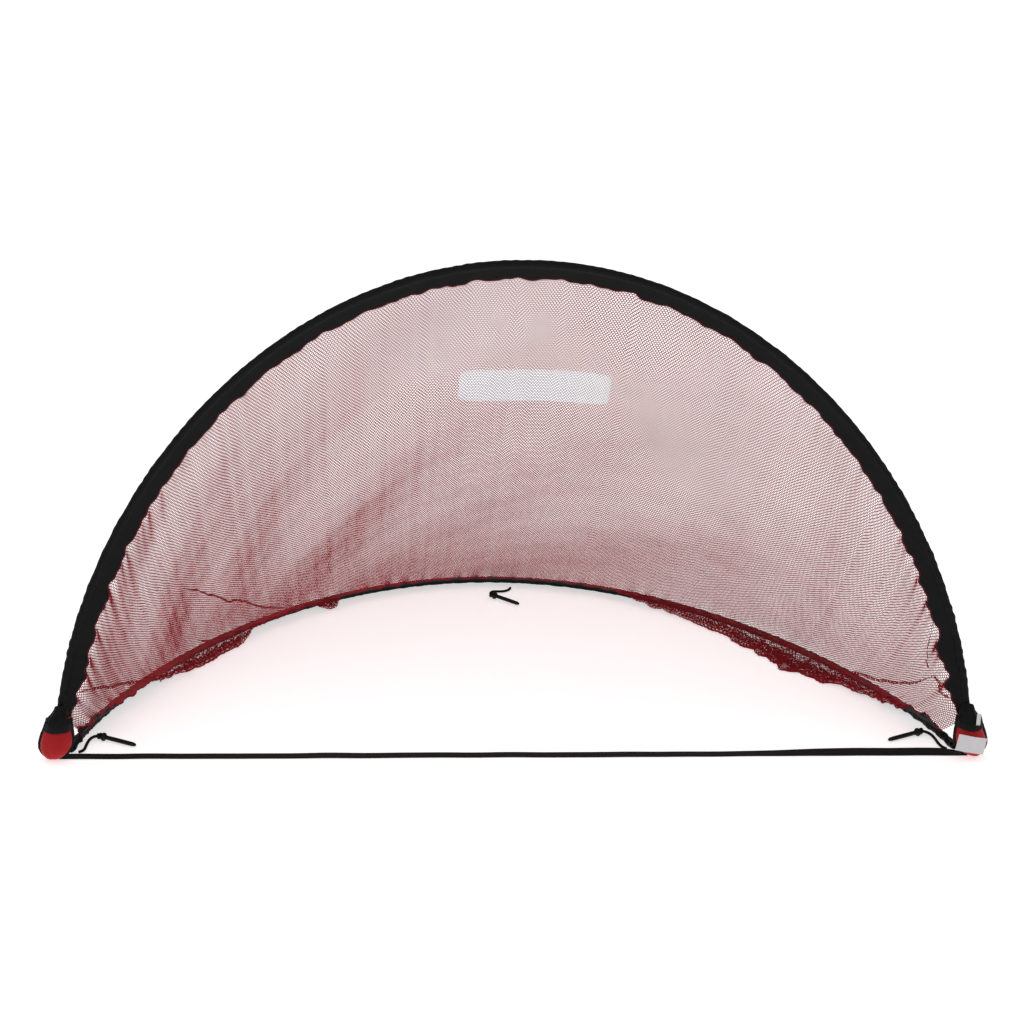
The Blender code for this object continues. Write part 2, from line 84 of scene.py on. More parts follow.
# The two hoops, on their rods' centre lines
HALF_WIDTH = 0.885
ARCH_RISE = 0.935
ARCH_SHAPE = 0.565
ARCH_LEAN = math.radians(5.7)
BASE_HALF_WIDTH = 0.865
BASE_RISE = 1.035
BASE_SHAPE = 0.72
BASE_START = 0.018
HINGE_HEIGHT = frame["joints"][0]["pos_m"][2]

# Sleeves
TUBE_RADIUS = 0.0075
CLOTH = 0.0006
FLAP_REACH = 0.036
FLAP_CORNER_REACH = 0.009
FLAP_TILT = math.radians(32)
BASE_FLAP_TILT = math.radians(27)     # in the middle of the base
BASE_CORNER_TILT = math.radians(66)   # at its corners
BASE_CORNER_REACH = 0.30              # how far from a corner the flap has the middle's tilt
SLEEVE_START = 0.004
TAPER_START = 0.020
ARCH_TAPER_END = 0.140
BASE_TAPER_END = 0.110
RING_STEP = 0.004
TUBE_POINTS = 22
FLAP_POINTS = 9
FLAP_SLIT = math.radians(24)   # half of the opening through which the flap leaves the tube
FLAP_PLY = 0.0008              # half of the flap's thickness
FLAP_FLARE = 9                 # how fast the flap thins from the tube to that thickness
FLAP_EDGE_SHARE = 0.45         # the thickness that is left at the flap's edge
AXES_STEP = 0.004              # half of the stretch over which a hoop's direction is measured
GATHER_LENGTHS = (0.062, 0.024, 0.045, 0.017)    # of the edge's two waves, the folds and the crumples
QUICK_SHARE = 0.35             # height of the edge's shorter waves, as a share of the longer ones
CRUMPLE_SHARE = 0.3            # height of the crumples, as a share of the folds
EDGE_BUNCHED = 1.3             # how much deeper the edge's waves are where the cloth is bunched
WAVE_BUNCHED = 2.2             # and how much higher its folds
SWELL = 0.00045                # unevenness of the tube
SWELL_BUNCHED = 0.0011
STITCH_LENGTH = 0.0030
STITCH_PITCH = 0.0045
STITCH_RADIUS = 0.0003
STITCH_END = 0.03              # how far from the sleeve's ends the stitching stops
STITCH_ROWS = (0.10, 0.86)     # as shares of the way from the tube to the flap's edge

# Net
CELL = 0.0060            # between the middles of two holes
STRAND = 0.0018
YARN_RIDGE = 0.0011      # height of a strand's ridge above its edges
NET_EVENS_OUT = 0.028    # how far from a sleeve its gathers still show in the net
NET_CORNER = 0.050
NET_SAG = 0.09
NET_SAG_PLACE = 0.42
NET_TUCK = 0.005         # how deep the net's edge runs into a flap
NET_LOWEST = 0.0010
NET_PIECES = 5
FALL_ROWS = 120          # points down the stretched net, before it is resampled
TABLE_COLUMNS = 900
TABLE_ROWS = 360
HANG_OUT = 0.014         # how far the slack hangs out from the flap's edge
HANG_MOST = 0.97         # how far down it hangs at most, as a share of the way to the ground
HANG_RIPPLE = 0.10       # how much that share varies
LIE_RIPPLE = 0.16        # and how much the depth of the slack on the ground varies
BILLOWS = ((51, 0.42, 0.0060), (52, 0.16, 0.0008))    # (seed, wavelength, height)
BILLOW_FADE = 0.12       # how far from a sleeve the billows reach their height
BILLOW_FOOT = 0.55       # and how far from the foot, below which they are only a quarter as high
TENSION = (53, 0.075, 0.0010)    # (seed, wavelength, height) of the lines of tension at the arch
TENSION_REACH = 0.10
FOLD_LIFT = 0.0016       # how far a fold's foot stands off the net
FOLD_LEAN = 0.9          # how far a fold is laid over, as a share of its height
FOLD_RISE = 0.35         # and how far it still stands up
PRINT_MIDDLE = (0.033, 0.668)
PRINT_SIZE = (0.30, 0.080)
PRINT_SLOPE = -0.02

# Pouches
POUCH_MIDDLE = HALF_WIDTH + 0.009
POUCH_HALF_WIDTH = 0.030
POUCH_HEIGHT = 0.084
POUCH_DEPTH_TOP = 0.018
POUCH_DEPTH_BOTTOM = 0.046
POUCH_RIM = -0.006
POUCH_BOTTOM = 0.0022
POUCH_WALL = 0.0009
POUCH_SHEAR = 0.15       # how far the pouch leans towards the goal, for its height
POUCH_TAPER = 0.30       # how much narrower its mouth is than its round bottom
POUCH_ROUND = 0.034      # cloth for each radian of the turn round a pouch's front
POUCH_CREASES = ((0.045, 0.0016), (0.018, 0.0005))    # (wavelength, height)
POUCH_WAIST = 0.0012         # how far the band pulls the cloth in
POUCH_WAIST_REACH = 0.014
BINDING_RADIUS = 0.0038
BINDING_OUT = 0.0012
COLLAR_LOW = 0.074
COLLAR_HIGH = 0.106
COLLAR_RADIUS = 0.0105
COLLAR_OUT = (0.0040, 0.0026)    # how far its two skins stand off the pouch and the sleeve
COLLAR_FOLDS = (0.011, 0.0016)       # (wavelength, height) of the folds that run up it
COLLAR_CRUMPLES = (0.020, 0.0012)    # and of its crumples
COLLAR_EDGE_WAVES = 0.002            # height of the waves of its lower edge
COLLAR_SPARE_DEPTH = 0.004
COLLAR_SHIFT = 0.0055    # how far in from the corner the arch's sleeve stands at the collar's top
COLLAR_DROOP = 0.014     # how much lower the top edge is at the collar's two sides
BAND_HEIGHT = 0.066
BAND_WIDTH = 0.016
WEBBING = 0.0016

# Floor strap
STRAP_WIDTH = 0.025
STRAP_COLUMNS = 480
STRAP_TURN = math.radians(13)    # how far it is turned up near its right end
STRAP_TURN_START = 0.42
STRAP_BOW = (0.9, 0.0018)        # (wavelength, height) of its bow along the ground
STRAP_RIPPLE = (0.13, 0.0009)    # and of its ripples off the ground

# Labels
LABEL_SIZE = (0.057, 0.034)
LABEL_SHIFT = (-0.001, 0, 0.007)    # from the middle of its CAD solid
LABEL_TILT = math.radians(10)
LABEL_CURL = 0.0022
TAG_SIZE = (0.008, 0.024)
TAG_CURL = 0.0007
RIBBON = 0.0004

# Tethers and pegs
TETHER_RADIUS = 0.003
PEG_LENGTH = 0.078
PEG_RADIUS = 0.0045
PEG_HEAD_RADIUS = 0.0085
PEG_HEAD_LENGTH = 0.009
PEG_NECK_RADIUS = 0.0041    # in the groove below the head
KNOT_SIZE = 0.0036
KNOT_BACK = 0.004           # how far the knot lies back from the tether's end
CONTACT_GAP = 0.0003
TETHER_POINTS = {
    "left": [
        (-0.8500, 0.0170, 0.0032),
        (-0.8445, 0.0225, 0.0032),
        (-0.8415, 0.0310, 0.0032),
        (-0.8405, 0.0410, 0.0034),
        (-0.8395, 0.0520, 0.0042),
        (-0.8378, 0.0630, 0.0056),
        (-0.8345, 0.0725, 0.0072),
        (-0.8290, 0.0795, 0.0084),
        (-0.8220, 0.0825, 0.0090),
        (-0.8145, 0.0815, 0.0090),
    ],
    "right": [
        (0.8500, 0.0170, 0.0032),
        (0.8450, 0.0240, 0.0032),
        (0.8420, 0.0340, 0.0032),
        (0.8405, 0.0450, 0.0034),
        (0.8395, 0.0570, 0.0042),
        (0.8378, 0.0690, 0.0056),
        (0.8345, 0.0795, 0.0072),
        (0.8290, 0.0875, 0.0084),
        (0.8220, 0.0920, 0.0090),
        (0.8145, 0.0920, 0.0090),
    ],
    "back": [
        (0.0490, 1.0030, 0.0032),
        (0.0455, 0.9930, 0.0032),
        (0.0390, 0.9840, 0.0032),
        (0.0300, 0.9780, 0.0034),
        (0.0205, 0.9745, 0.0042),
        (0.0115, 0.9705, 0.0056),
        (0.0040, 0.9640, 0.0072),
        (0.0000, 0.9550, 0.0084),
        (-0.0005, 0.9450, 0.0090),
        (0.0030, 0.9360, 0.0090),
    ],
}
PEG_TIPS = {
    "left": (-0.7450, 0.0465, 0.0050),
    "right": (0.7450, 0.0600, 0.0050),
    "back": (0.0610, 0.8830, 0.0050),
}


# ---------------------------------------------------------------- small helpers


def smoothstep(value):
    value = np.clip(value, 0.0, 1.0)
    return value * value * (3 - 2 * value)


def unit(vectors):
    return vectors / np.maximum(np.linalg.norm(vectors, axis=-1, keepdims=True), 1e-12)


class Ripple:
    """A smooth, irregular wave of one or two distances, with a mean of 0 and a peak near 1."""

    def __init__(self, seed, wavelength, waves=5, spread=0.45):
        random = np.random.default_rng(seed)
        lengths = wavelength * (1 + spread * random.uniform(-1, 1, waves))
        angles = random.uniform(-1.2, 1.2, waves)
        self.along = 2 * math.pi / lengths * np.cos(angles)
        self.across = 2 * math.pi / lengths * np.sin(angles)
        self.phase = random.uniform(0, 2 * math.pi, waves)
        self.scale = 1.6 / waves

    def at(self, x, y=0.0):
        x = np.asarray(x, float)
        total = 0.0
        for along, across, phase in zip(self.along, self.across, self.phase):
            total = total + np.sin(along * x + across * np.asarray(y, float) + phase)
        return total * self.scale


def link(item):
    bpy.context.scene.collection.objects.link(item)
    return item


def mesh_object(name, points, faces, material, cloth=None, smooth=True):
    """An object of points and quads, with its place on the flat cloth kept as an attribute."""
    faces = np.asarray(faces, np.int32)
    mesh = bpy.data.meshes.new(name)
    mesh.vertices.add(len(points))
    mesh.vertices.foreach_set("co", np.asarray(points, np.float32).ravel())
    corners = faces.shape[1]
    mesh.loops.add(faces.size)
    mesh.loops.foreach_set("vertex_index", faces.ravel())
    mesh.polygons.add(len(faces))
    mesh.polygons.foreach_set("loop_start", np.arange(0, faces.size, corners, dtype=np.int32))
    mesh.update(calc_edges=True)
    if smooth:
        mesh.shade_smooth()
    if cloth is not None:
        add_cloth(mesh, cloth)
    for item in material if isinstance(material, list) else [material]:
        mesh.materials.append(item)
    return link(bpy.data.objects.new(name, mesh))


def add_cloth(mesh, cloth):
    values = np.zeros((len(mesh.vertices), 3), np.float32)
    values[:, : np.shape(cloth)[1]] = cloth
    mesh.attributes.new("cloth", "FLOAT_VECTOR", "POINT").data.foreach_set("vector", values.ravel())


def grid_faces(rows, columns, closed=False, flip=False, start=0):
    """Quads of a grid of points stored row by row. A closed grid joins its last column to its first."""
    i, j = np.meshgrid(np.arange(rows - 1), np.arange(columns if closed else columns - 1), indexing="ij")
    k = (j + 1) % columns
    quads = np.stack([i * columns + j, i * columns + k, (i + 1) * columns + k, (i + 1) * columns + j], -1)
    quads = quads.reshape(-1, 4) + start
    return quads[:, ::-1] if flip else quads


def shell_faces(rows, columns):
    """Quads of a thin closed shell: an outer grid, an inner grid of the same size, and their rim."""
    inner = rows * columns
    outer_faces = grid_faces(rows, columns)
    inner_faces = grid_faces(rows, columns, flip=True, start=inner)
    border = list(range(columns))
    border += [i * columns + columns - 1 for i in range(1, rows)]
    border += [(rows - 1) * columns + j for j in range(columns - 2, -1, -1)]
    border += [i * columns for i in range(rows - 2, 0, -1)]
    border = np.array(border)
    following = np.roll(border, -1)
    rim = np.stack([following, border, border + inner, following + inner], -1)
    return np.concatenate([outer_faces, inner_faces, rim])


def smooth_path(points, per_span):
    """Points of a Catmull-Rom curve through the given points."""
    points = [Vector(point) for point in points]
    ends = [points[0] * 2 - points[1]] + points + [points[-1] * 2 - points[-2]]
    fine = []
    for a, b, c, d in zip(ends, ends[1:], ends[2:], ends[3:]):
        for k in range(per_span):
            t = k / per_span
            bend = a * (-t + 2 * t**2 - t**3) + b * (2 - 5 * t**2 + 3 * t**3)
            bend += c * (t + 4 * t**2 - 3 * t**3) + d * (t**3 - t**2)
            fine.append(bend / 2)
    return fine + [points[-1]]


def path_frames(path):
    """Tangent, side and upward direction at each point of a path, with the side kept level."""
    path = np.asarray(path, float)
    tangent = unit(np.gradient(path, axis=0))
    side = np.cross(tangent, np.array([0.0, 0.0, 1.0]))
    flat = np.linalg.norm(side, axis=1) < 1e-4
    side[flat] = np.array([1.0, 0.0, 0.0])
    side = unit(side)
    return path, tangent, side, np.cross(side, tangent)


def tube_object(name, path, radii, material, sides):
    """A round tube along a path, with its rounded ends closed."""
    path, tangent, side, up = path_frames(path)
    cap = np.array([0.35, 0.75, 0.95])
    stand = (1 - cap[:, None]) * 0.6
    first = path[0] - tangent[0] * radii[0] * stand
    last = path[-1] + tangent[-1] * radii[-1] * stand[::-1]
    path = np.concatenate([first, path, last])
    radii = np.concatenate([radii[0] * cap, radii, radii[-1] * cap[::-1]])
    side = np.pad(side, ((3, 3), (0, 0)), mode="edge")
    up = np.pad(up, ((3, 3), (0, 0)), mode="edge")
    turn = 2 * math.pi * np.arange(sides) / sides
    around = side[:, None] * np.cos(turn)[None, :, None] + up[:, None] * np.sin(turn)[None, :, None]
    points = path[:, None] + around * radii[:, None, None]
    along = np.concatenate([[0.0], np.cumsum(np.linalg.norm(np.diff(path, axis=0), axis=1))])
    cloth = np.stack(np.broadcast_arrays(along[:, None], turn[None, :] * radii.mean()), -1)
    faces = grid_faces(len(path), sides, closed=True)
    item = mesh_object(name, points.reshape(-1, 3), faces, material, cloth.reshape(-1, 2))
    close_ends(item.data, sides, len(path))
    return item


def close_ends(mesh, sides, rings):
    """Fill the first and the last ring of a tube."""
    bm = bmesh.new()
    bm.from_mesh(mesh)
    bm.verts.ensure_lookup_table()
    for start in (0, (rings - 1) * sides):
        bm.faces.new([bm.verts[start + i] for i in range(sides)])
    bmesh.ops.recalc_face_normals(bm, faces=bm.faces)
    bm.to_mesh(mesh)
    bm.free()


def turned_object(name, outline, material, sides=32):
    """Turn an outline of (radius, height) points about local Z, and close its two ends flat."""
    turn = 2 * math.pi * np.arange(sides) / sides
    rings = [
        np.stack([radius * np.cos(turn), radius * np.sin(turn), np.full(sides, height)], -1)
        for radius, height in outline
    ]
    item = mesh_object(name, np.concatenate(rings), grid_faces(len(rings), sides, closed=True), material)
    close_ends(item.data, sides, len(rings))
    item.data.shade_smooth()
    item.data.set_sharp_from_angle(angle=math.radians(50))
    return item


def shell_object(name, outer, inner, flat, material):
    """A thin closed shell between two grids of points, flat being its two places on the cloth."""
    rows, columns = outer.shape[:2]
    points = np.concatenate([outer.reshape(-1, 3), inner.reshape(-1, 3)])
    flat = np.stack(np.broadcast_arrays(*flat), -1).reshape(-1, 2)
    item = mesh_object(name, points, shell_faces(rows, columns), material, np.concatenate([flat, flat]))
    bm = bmesh.new()
    bm.from_mesh(item.data)
    bmesh.ops.recalc_face_normals(bm, faces=bm.faces)
    bm.to_mesh(item.data)
    bm.free()
    item.data.shade_smooth()
    item.data.set_sharp_from_angle(angle=math.radians(60))
    return item


# ---------------------------------------------------------------- materials


class Recipe:
    """A node-based material, built from short calls."""

    def __init__(self, name, colour, roughness, metallic=0.0, specular=0.5):
        self.material = bpy.data.materials.new(name)
        self.material.use_nodes = True
        self.nodes = self.material.node_tree.nodes
        self.links = self.material.node_tree.links
        self.shader = self.nodes["Principled BSDF"]
        self.shader.inputs["Base Color"].default_value = (*colour, 1)
        self.shader.inputs["Roughness"].default_value = roughness
        self.shader.inputs["Metallic"].default_value = metallic
        self.shader.inputs["Specular IOR Level"].default_value = specular
        self.height = None

    def node(self, kind, **settings):
        made = self.nodes.new(kind)
        for key, value in settings.items():
            setattr(made, key, value)
        return made

    def place(self):
        return self.node("ShaderNodeTexCoord").outputs["Object"]

    def cloth(self, turn=0.0):
        """The place on the flat cloth, in metres, turned about its normal."""
        source = self.node("ShaderNodeAttribute", attribute_name="cloth")
        mapping = self.node("ShaderNodeMapping")
        mapping.inputs["Rotation"].default_value = (0, 0, turn)
        self.links.new(source.outputs["Vector"], mapping.inputs["Vector"])
        return mapping.outputs["Vector"]

    def noise(self, scale, detail):
        made = self.node("ShaderNodeTexNoise")
        made.inputs["Scale"].default_value = scale
        made.inputs["Detail"].default_value = detail
        self.links.new(self.place(), made.inputs["Vector"])
        return made.outputs["Fac"]

    def wave(self, period, vector, direction):
        """Bands a period apart. The node's own period is 2 pi / 20 at a scale of 1."""
        made = self.node("ShaderNodeTexWave", bands_direction=direction)
        made.inputs["Scale"].default_value = 2 * math.pi / 20 / period
        self.links.new(vector, made.inputs["Vector"])
        return made.outputs["Fac"]

    def math(self, operation, a, b):
        made = self.node("ShaderNodeMath", operation=operation)
        for socket, value in zip(made.inputs, (a, b)):
            if isinstance(value, (int, float)):
                socket.default_value = value
            else:
                self.links.new(value, socket)
        return made.outputs[0]

    def mixed(self, a, b, share):
        """Two values added up, b with a share and a with the rest."""
        return self.math("ADD", self.math("MULTIPLY", a, 1 - share), self.math("MULTIPLY", b, share))

    def colour(self, factor, low, high):
        made = self.node("ShaderNodeMix", data_type="RGBA")
        made.inputs[6].default_value = (*low, 1)
        made.inputs[7].default_value = (*high, 1)
        self.links.new(factor, made.inputs[0])
        self.links.new(made.outputs[2], self.shader.inputs["Base Color"])

    def roughness(self, factor, low, high):
        made = self.node("ShaderNodeMapRange")
        made.inputs["To Min"].default_value = low
        made.inputs["To Max"].default_value = high
        self.links.new(factor, made.inputs["Value"])
        self.links.new(made.outputs[0], self.shader.inputs["Roughness"])

    def bump(self, height, distance, strength):
        made = self.node("ShaderNodeBump")
        made.inputs["Strength"].default_value = strength
        made.inputs["Distance"].default_value = distance
        self.links.new(height, made.inputs["Height"])
        if self.height is not None:
            self.links.new(self.height, made.inputs["Normal"])
        self.height = made.outputs["Normal"]
        self.links.new(self.height, self.shader.inputs["Normal"])

    def sheen(self, weight, roughness=0.4, tint=(1, 1, 1)):
        self.shader.inputs["Sheen Weight"].default_value = weight
        self.shader.inputs["Sheen Roughness"].default_value = roughness
        self.shader.inputs["Sheen Tint"].default_value = (*tint, 1)


def woven(name, dark, light, thread, sheen, specular):
    """Plain-woven cloth: crossing threads, mottled colour and a soft sheen."""
    recipe = Recipe(name, dark, 0.6, specular=specular)
    place = recipe.cloth()
    warp = recipe.wave(thread, place, "X")
    weft = recipe.wave(thread, place, "Y")
    weave = recipe.math("MULTIPLY", warp, weft)
    mottle = recipe.noise(60.0, 4.0)
    recipe.colour(recipe.mixed(weave, mottle, 0.55), dark, light)
    recipe.roughness(mottle, 0.52, 0.68)
    recipe.bump(weave, 0.00012, 0.7)
    recipe.bump(recipe.noise(220.0, 3.0), 0.0004, 0.5)
    recipe.sheen(sheen)
    return recipe.material


def make_materials():
    made = {}
    black = (0.0025, 0.0025, 0.003), (0.007, 0.007, 0.008)
    red = (0.31, 0.009, 0.011), (0.50, 0.016, 0.020)
    pale = (0.56, 0.54, 0.56), (0.70, 0.68, 0.70)
    made["sleeve"] = woven("sleeve_cloth", *black, thread=0.0009, sheen=0.01, specular=0.12)
    made["pouch"] = woven("pouch_cloth", *red, thread=0.0008, sheen=0.02, specular=0.15)
    made["label"] = woven("label_cloth", *pale, thread=0.0005, sheen=0.02, specular=0.2)

    yarn = Recipe("net_yarn", (0.28, 0.012, 0.02), 0.7, specular=0.12)
    spread = yarn.noise(14.0, 3.0)
    fibre = yarn.noise(900.0, 2.0)
    yarn.colour(yarn.mixed(spread, fibre, 0.4), (0.20, 0.008, 0.014), (0.38, 0.016, 0.026))
    yarn.roughness(fibre, 0.45, 0.7)
    yarn.bump(fibre, 0.0002, 0.5)
    yarn.sheen(0.04, 0.5, (1.0, 0.3, 0.3))
    made["yarn"] = yarn.material

    ink = Recipe("net_print", (0.44, 0.38, 0.43), 0.7, specular=0.12)
    grain = ink.noise(500.0, 3.0)
    ink.colour(grain, (0.38, 0.33, 0.37), (0.52, 0.45, 0.50))
    ink.bump(grain, 0.0002, 0.4)
    made["print"] = ink.material

    webbing = Recipe("webbing_weave", (0.008, 0.008, 0.009), 0.75, specular=0.15)
    ribs = webbing.wave(0.0016, webbing.cloth(), "X")
    lines = webbing.wave(0.0025, webbing.cloth(turn=0.9), "Y")
    weave = webbing.mixed(ribs, lines, 0.3)
    webbing.colour(weave, (0.004, 0.004, 0.0045), (0.013, 0.013, 0.014))
    webbing.roughness(webbing.noise(80.0, 3.0), 0.58, 0.8)
    webbing.bump(weave, 0.0004, 0.8)
    webbing.sheen(0.02)
    made["webbing"] = webbing.material

    cord = Recipe("braided_cord", (0.005, 0.005, 0.005), 0.75, specular=0.12)
    left = cord.wave(0.0022, cord.cloth(turn=0.7), "X")
    right = cord.wave(0.0022, cord.cloth(turn=-0.7), "X")
    braid = cord.math("MAXIMUM", left, right)
    cord.colour(braid, (0.002, 0.002, 0.0025), (0.008, 0.008, 0.009))
    cord.bump(braid, 0.0005, 0.8)
    cord.sheen(0.01)
    made["cord"] = cord.material

    thread = Recipe("stitch_thread", (0.01, 0.01, 0.011), 0.6, specular=0.15)
    twist = thread.noise(1500.0, 2.0)
    thread.colour(twist, (0.005, 0.005, 0.006), (0.016, 0.016, 0.018))
    made["thread"] = thread.material

    rod = Recipe("rod_glass_fibre", (0.04, 0.04, 0.045), 0.35)
    streaks = rod.noise(260.0, 4.0)
    rod.colour(streaks, (0.025, 0.025, 0.028), (0.06, 0.06, 0.065))
    rod.roughness(streaks, 0.25, 0.45)
    made["rod"] = rod.material

    steel = Recipe("plated_steel", (0.62, 0.62, 0.64), 0.3, 1.0)
    marks = steel.noise(400.0, 4.0)
    steel.colour(marks, (0.52, 0.52, 0.54), (0.68, 0.68, 0.70))
    steel.roughness(marks, 0.22, 0.4)
    made["steel"] = steel.material

    plastic = Recipe("moulded_plastic", (0.006, 0.006, 0.006), 0.5, specular=0.15)
    grain = plastic.noise(700.0, 3.0)
    plastic.colour(plastic.noise(90.0, 3.0), (0.004, 0.004, 0.0045), (0.009, 0.009, 0.010))
    plastic.roughness(grain, 0.35, 0.55)
    plastic.bump(grain, 0.0001, 0.5)
    made["plastic"] = plastic.material

    # A curve carries no place on the cloth, so its braid is of waves in space.
    tether = Recipe("braided_tether", (0.005, 0.005, 0.005), 0.75, specular=0.12)
    weave = tether.mixed(tether.wave(0.0024, tether.place(), "DIAGONAL"), tether.noise(700.0, 2.0), 0.4)
    tether.colour(weave, (0.002, 0.002, 0.0025), (0.008, 0.008, 0.009))
    tether.bump(weave, 0.0005, 0.8)
    tether.sheen(0.01)
    made["tether"] = tether.material
    return made


# ---------------------------------------------------------------- camera, light, floor


def make_camera():
    sin_pitch, cos_pitch = math.sin(CAMERA_PITCH), math.cos(CAMERA_PITCH)
    ahead = Vector((math.sin(CAMERA_YAW) * cos_pitch, math.cos(CAMERA_YAW) * cos_pitch, -sin_pitch))
    right = ahead.cross(Vector((0, 0, 1))).normalized()
    up = right.cross(ahead)
    rolled_right = right * math.cos(CAMERA_ROLL) + up * math.sin(CAMERA_ROLL)
    rolled_up = up * math.cos(CAMERA_ROLL) - right * math.sin(CAMERA_ROLL)
    data = bpy.data.cameras.new("camera")
    data.lens = CAMERA_LENS
    data.sensor_width = CAMERA_SENSOR
    camera = link(bpy.data.objects.new("camera", data))
    turn = Matrix((rolled_right, rolled_up, -ahead)).transposed()
    camera.matrix_world = Matrix.Translation(CAMERA_PLACE) @ turn.to_4x4()
    bpy.context.scene.camera = camera


def area_light(name, place, size, power):
    data = bpy.data.lights.new(name, "AREA")
    data.shape = "DISK"
    data.size = size
    data.energy = power
    item = link(bpy.data.objects.new(name, data))
    item.location = place
    item.rotation_euler = (Vector(LIGHTS_TARGET) - Vector(place)).to_track_quat("-Z", "Y").to_euler()


def make_studio():
    paper = Recipe("floor_paper", (0.93, 0.93, 0.93), 0.9, specular=0.1)
    paper.shader.inputs["Emission Color"].default_value = (1, 1, 1, 1)
    paper.shader.inputs["Emission Strength"].default_value = FLOOR_GLOW
    paper.colour(paper.noise(3.0, 2.0), (0.925, 0.925, 0.925), (0.935, 0.935, 0.935))
    corners = [(x * FLOOR_HALF, y * FLOOR_HALF, 0) for x, y in ((-1, -1), (1, -1), (1, 1), (-1, 1))]
    floor = mesh_object("floor", corners, [[0, 1, 2, 3]], paper.material, smooth=False)
    floor.location.z = -FLOOR_DROP
    world = bpy.data.worlds.new("studio")
    world.use_nodes = True
    background = world.node_tree.nodes["Background"]
    background.inputs["Color"].default_value = (1.0, 1.0, 1.0, 1)
    background.inputs["Strength"].default_value = WORLD_STRENGTH
    bpy.context.scene.world = world
    bpy.context.scene.view_settings.view_transform = "Standard"
    for name, light in LIGHTS.items():
        area_light(name, *light)


# ---------------------------------------------------------------- hoops


class Hoop:
    """One rod's centre line in space, by distance along it, and the directions of its flap."""

    def __init__(self, half, rise, shape, origin, away_axis, normal, tilt, end_tilt, taper_end):
        angle = np.linspace(-math.pi / 2, math.pi / 2, 8001)
        self.across = half * np.sin(angle)
        self.away = rise * np.cos(angle).clip(0, 1) ** (2 * shape)
        steps = np.hypot(np.diff(self.across), np.diff(self.away))
        self.along = np.concatenate([[0.0], np.cumsum(steps)])
        self.length = float(self.along[-1])
        self.origin = np.array(origin, float)
        self.away_axis = np.array(away_axis, float)
        self.normal = np.array(normal, float)
        self.tilt = tilt
        self.end_tilt = end_tilt
        self.taper_end = taper_end

    def plane_point(self, s):
        return np.interp(s, self.along, self.across), np.interp(s, self.along, self.away)

    def centre(self, s):
        across, away = self.plane_point(s)
        sideways = np.stack([across, np.zeros_like(across), np.zeros_like(across)], -1)
        return self.origin + sideways + self.away_axis * away[..., None]

    def axes(self, s):
        """The directions along the flap, away from the rod, and square to the flap."""
        low_x, low_y = self.plane_point(np.clip(s - AXES_STEP, 0, self.length))
        high_x, high_y = self.plane_point(np.clip(s + AXES_STEP, 0, self.length))
        step = unit(np.stack([high_x - low_x, high_y - low_y], -1))
        x_axis = np.array([1.0, 0.0, 0.0])
        inward = x_axis * step[..., 1:] - self.away_axis * step[..., :1]
        tilt = self.flap_tilt(s)[..., None]
        along_flap = inward * np.cos(tilt) + self.normal * np.sin(tilt)
        across_flap = self.normal * np.cos(tilt) - inward * np.sin(tilt)
        return along_flap, across_flap

    def flap_tilt(self, s):
        """How far the flap leans out of the hoop's plane, towards the net."""
        corner = np.minimum(s, self.length - s)
        share = smoothstep(corner / BASE_CORNER_REACH)
        if self.end_tilt:
            return self.end_tilt + (self.tilt - self.end_tilt) * share
        return self.tilt * np.sqrt(self.plane_point(s)[1] / self.away.max())

    def reach(self, s):
        corner = np.minimum(s, self.length - s)
        share = smoothstep((corner - TAPER_START) / (self.taper_end - TAPER_START))
        return FLAP_CORNER_REACH + (FLAP_REACH - FLAP_CORNER_REACH) * share

    def even_edge(self, s):
        """Points of the flap's edge, without its gathers."""
        return self.centre(s) + self.axes(s)[0] * self.reach(s)[:, None]


ARCH = Hoop(
    HALF_WIDTH,
    ARCH_RISE,
    ARCH_SHAPE,
    (0, 0, HINGE_HEIGHT),
    (0, math.sin(ARCH_LEAN), math.cos(ARCH_LEAN)),
    (0, math.cos(ARCH_LEAN), -math.sin(ARCH_LEAN)),
    FLAP_TILT,
    None,
    ARCH_TAPER_END,
)
BASE = Hoop(
    BASE_HALF_WIDTH,
    BASE_RISE,
    BASE_SHAPE,
    (0, BASE_START, TUBE_RADIUS),
    (0, 1, 0),
    (0, 0, 1),
    BASE_FLAP_TILT,
    BASE_CORNER_TILT,
    BASE_TAPER_END,
)


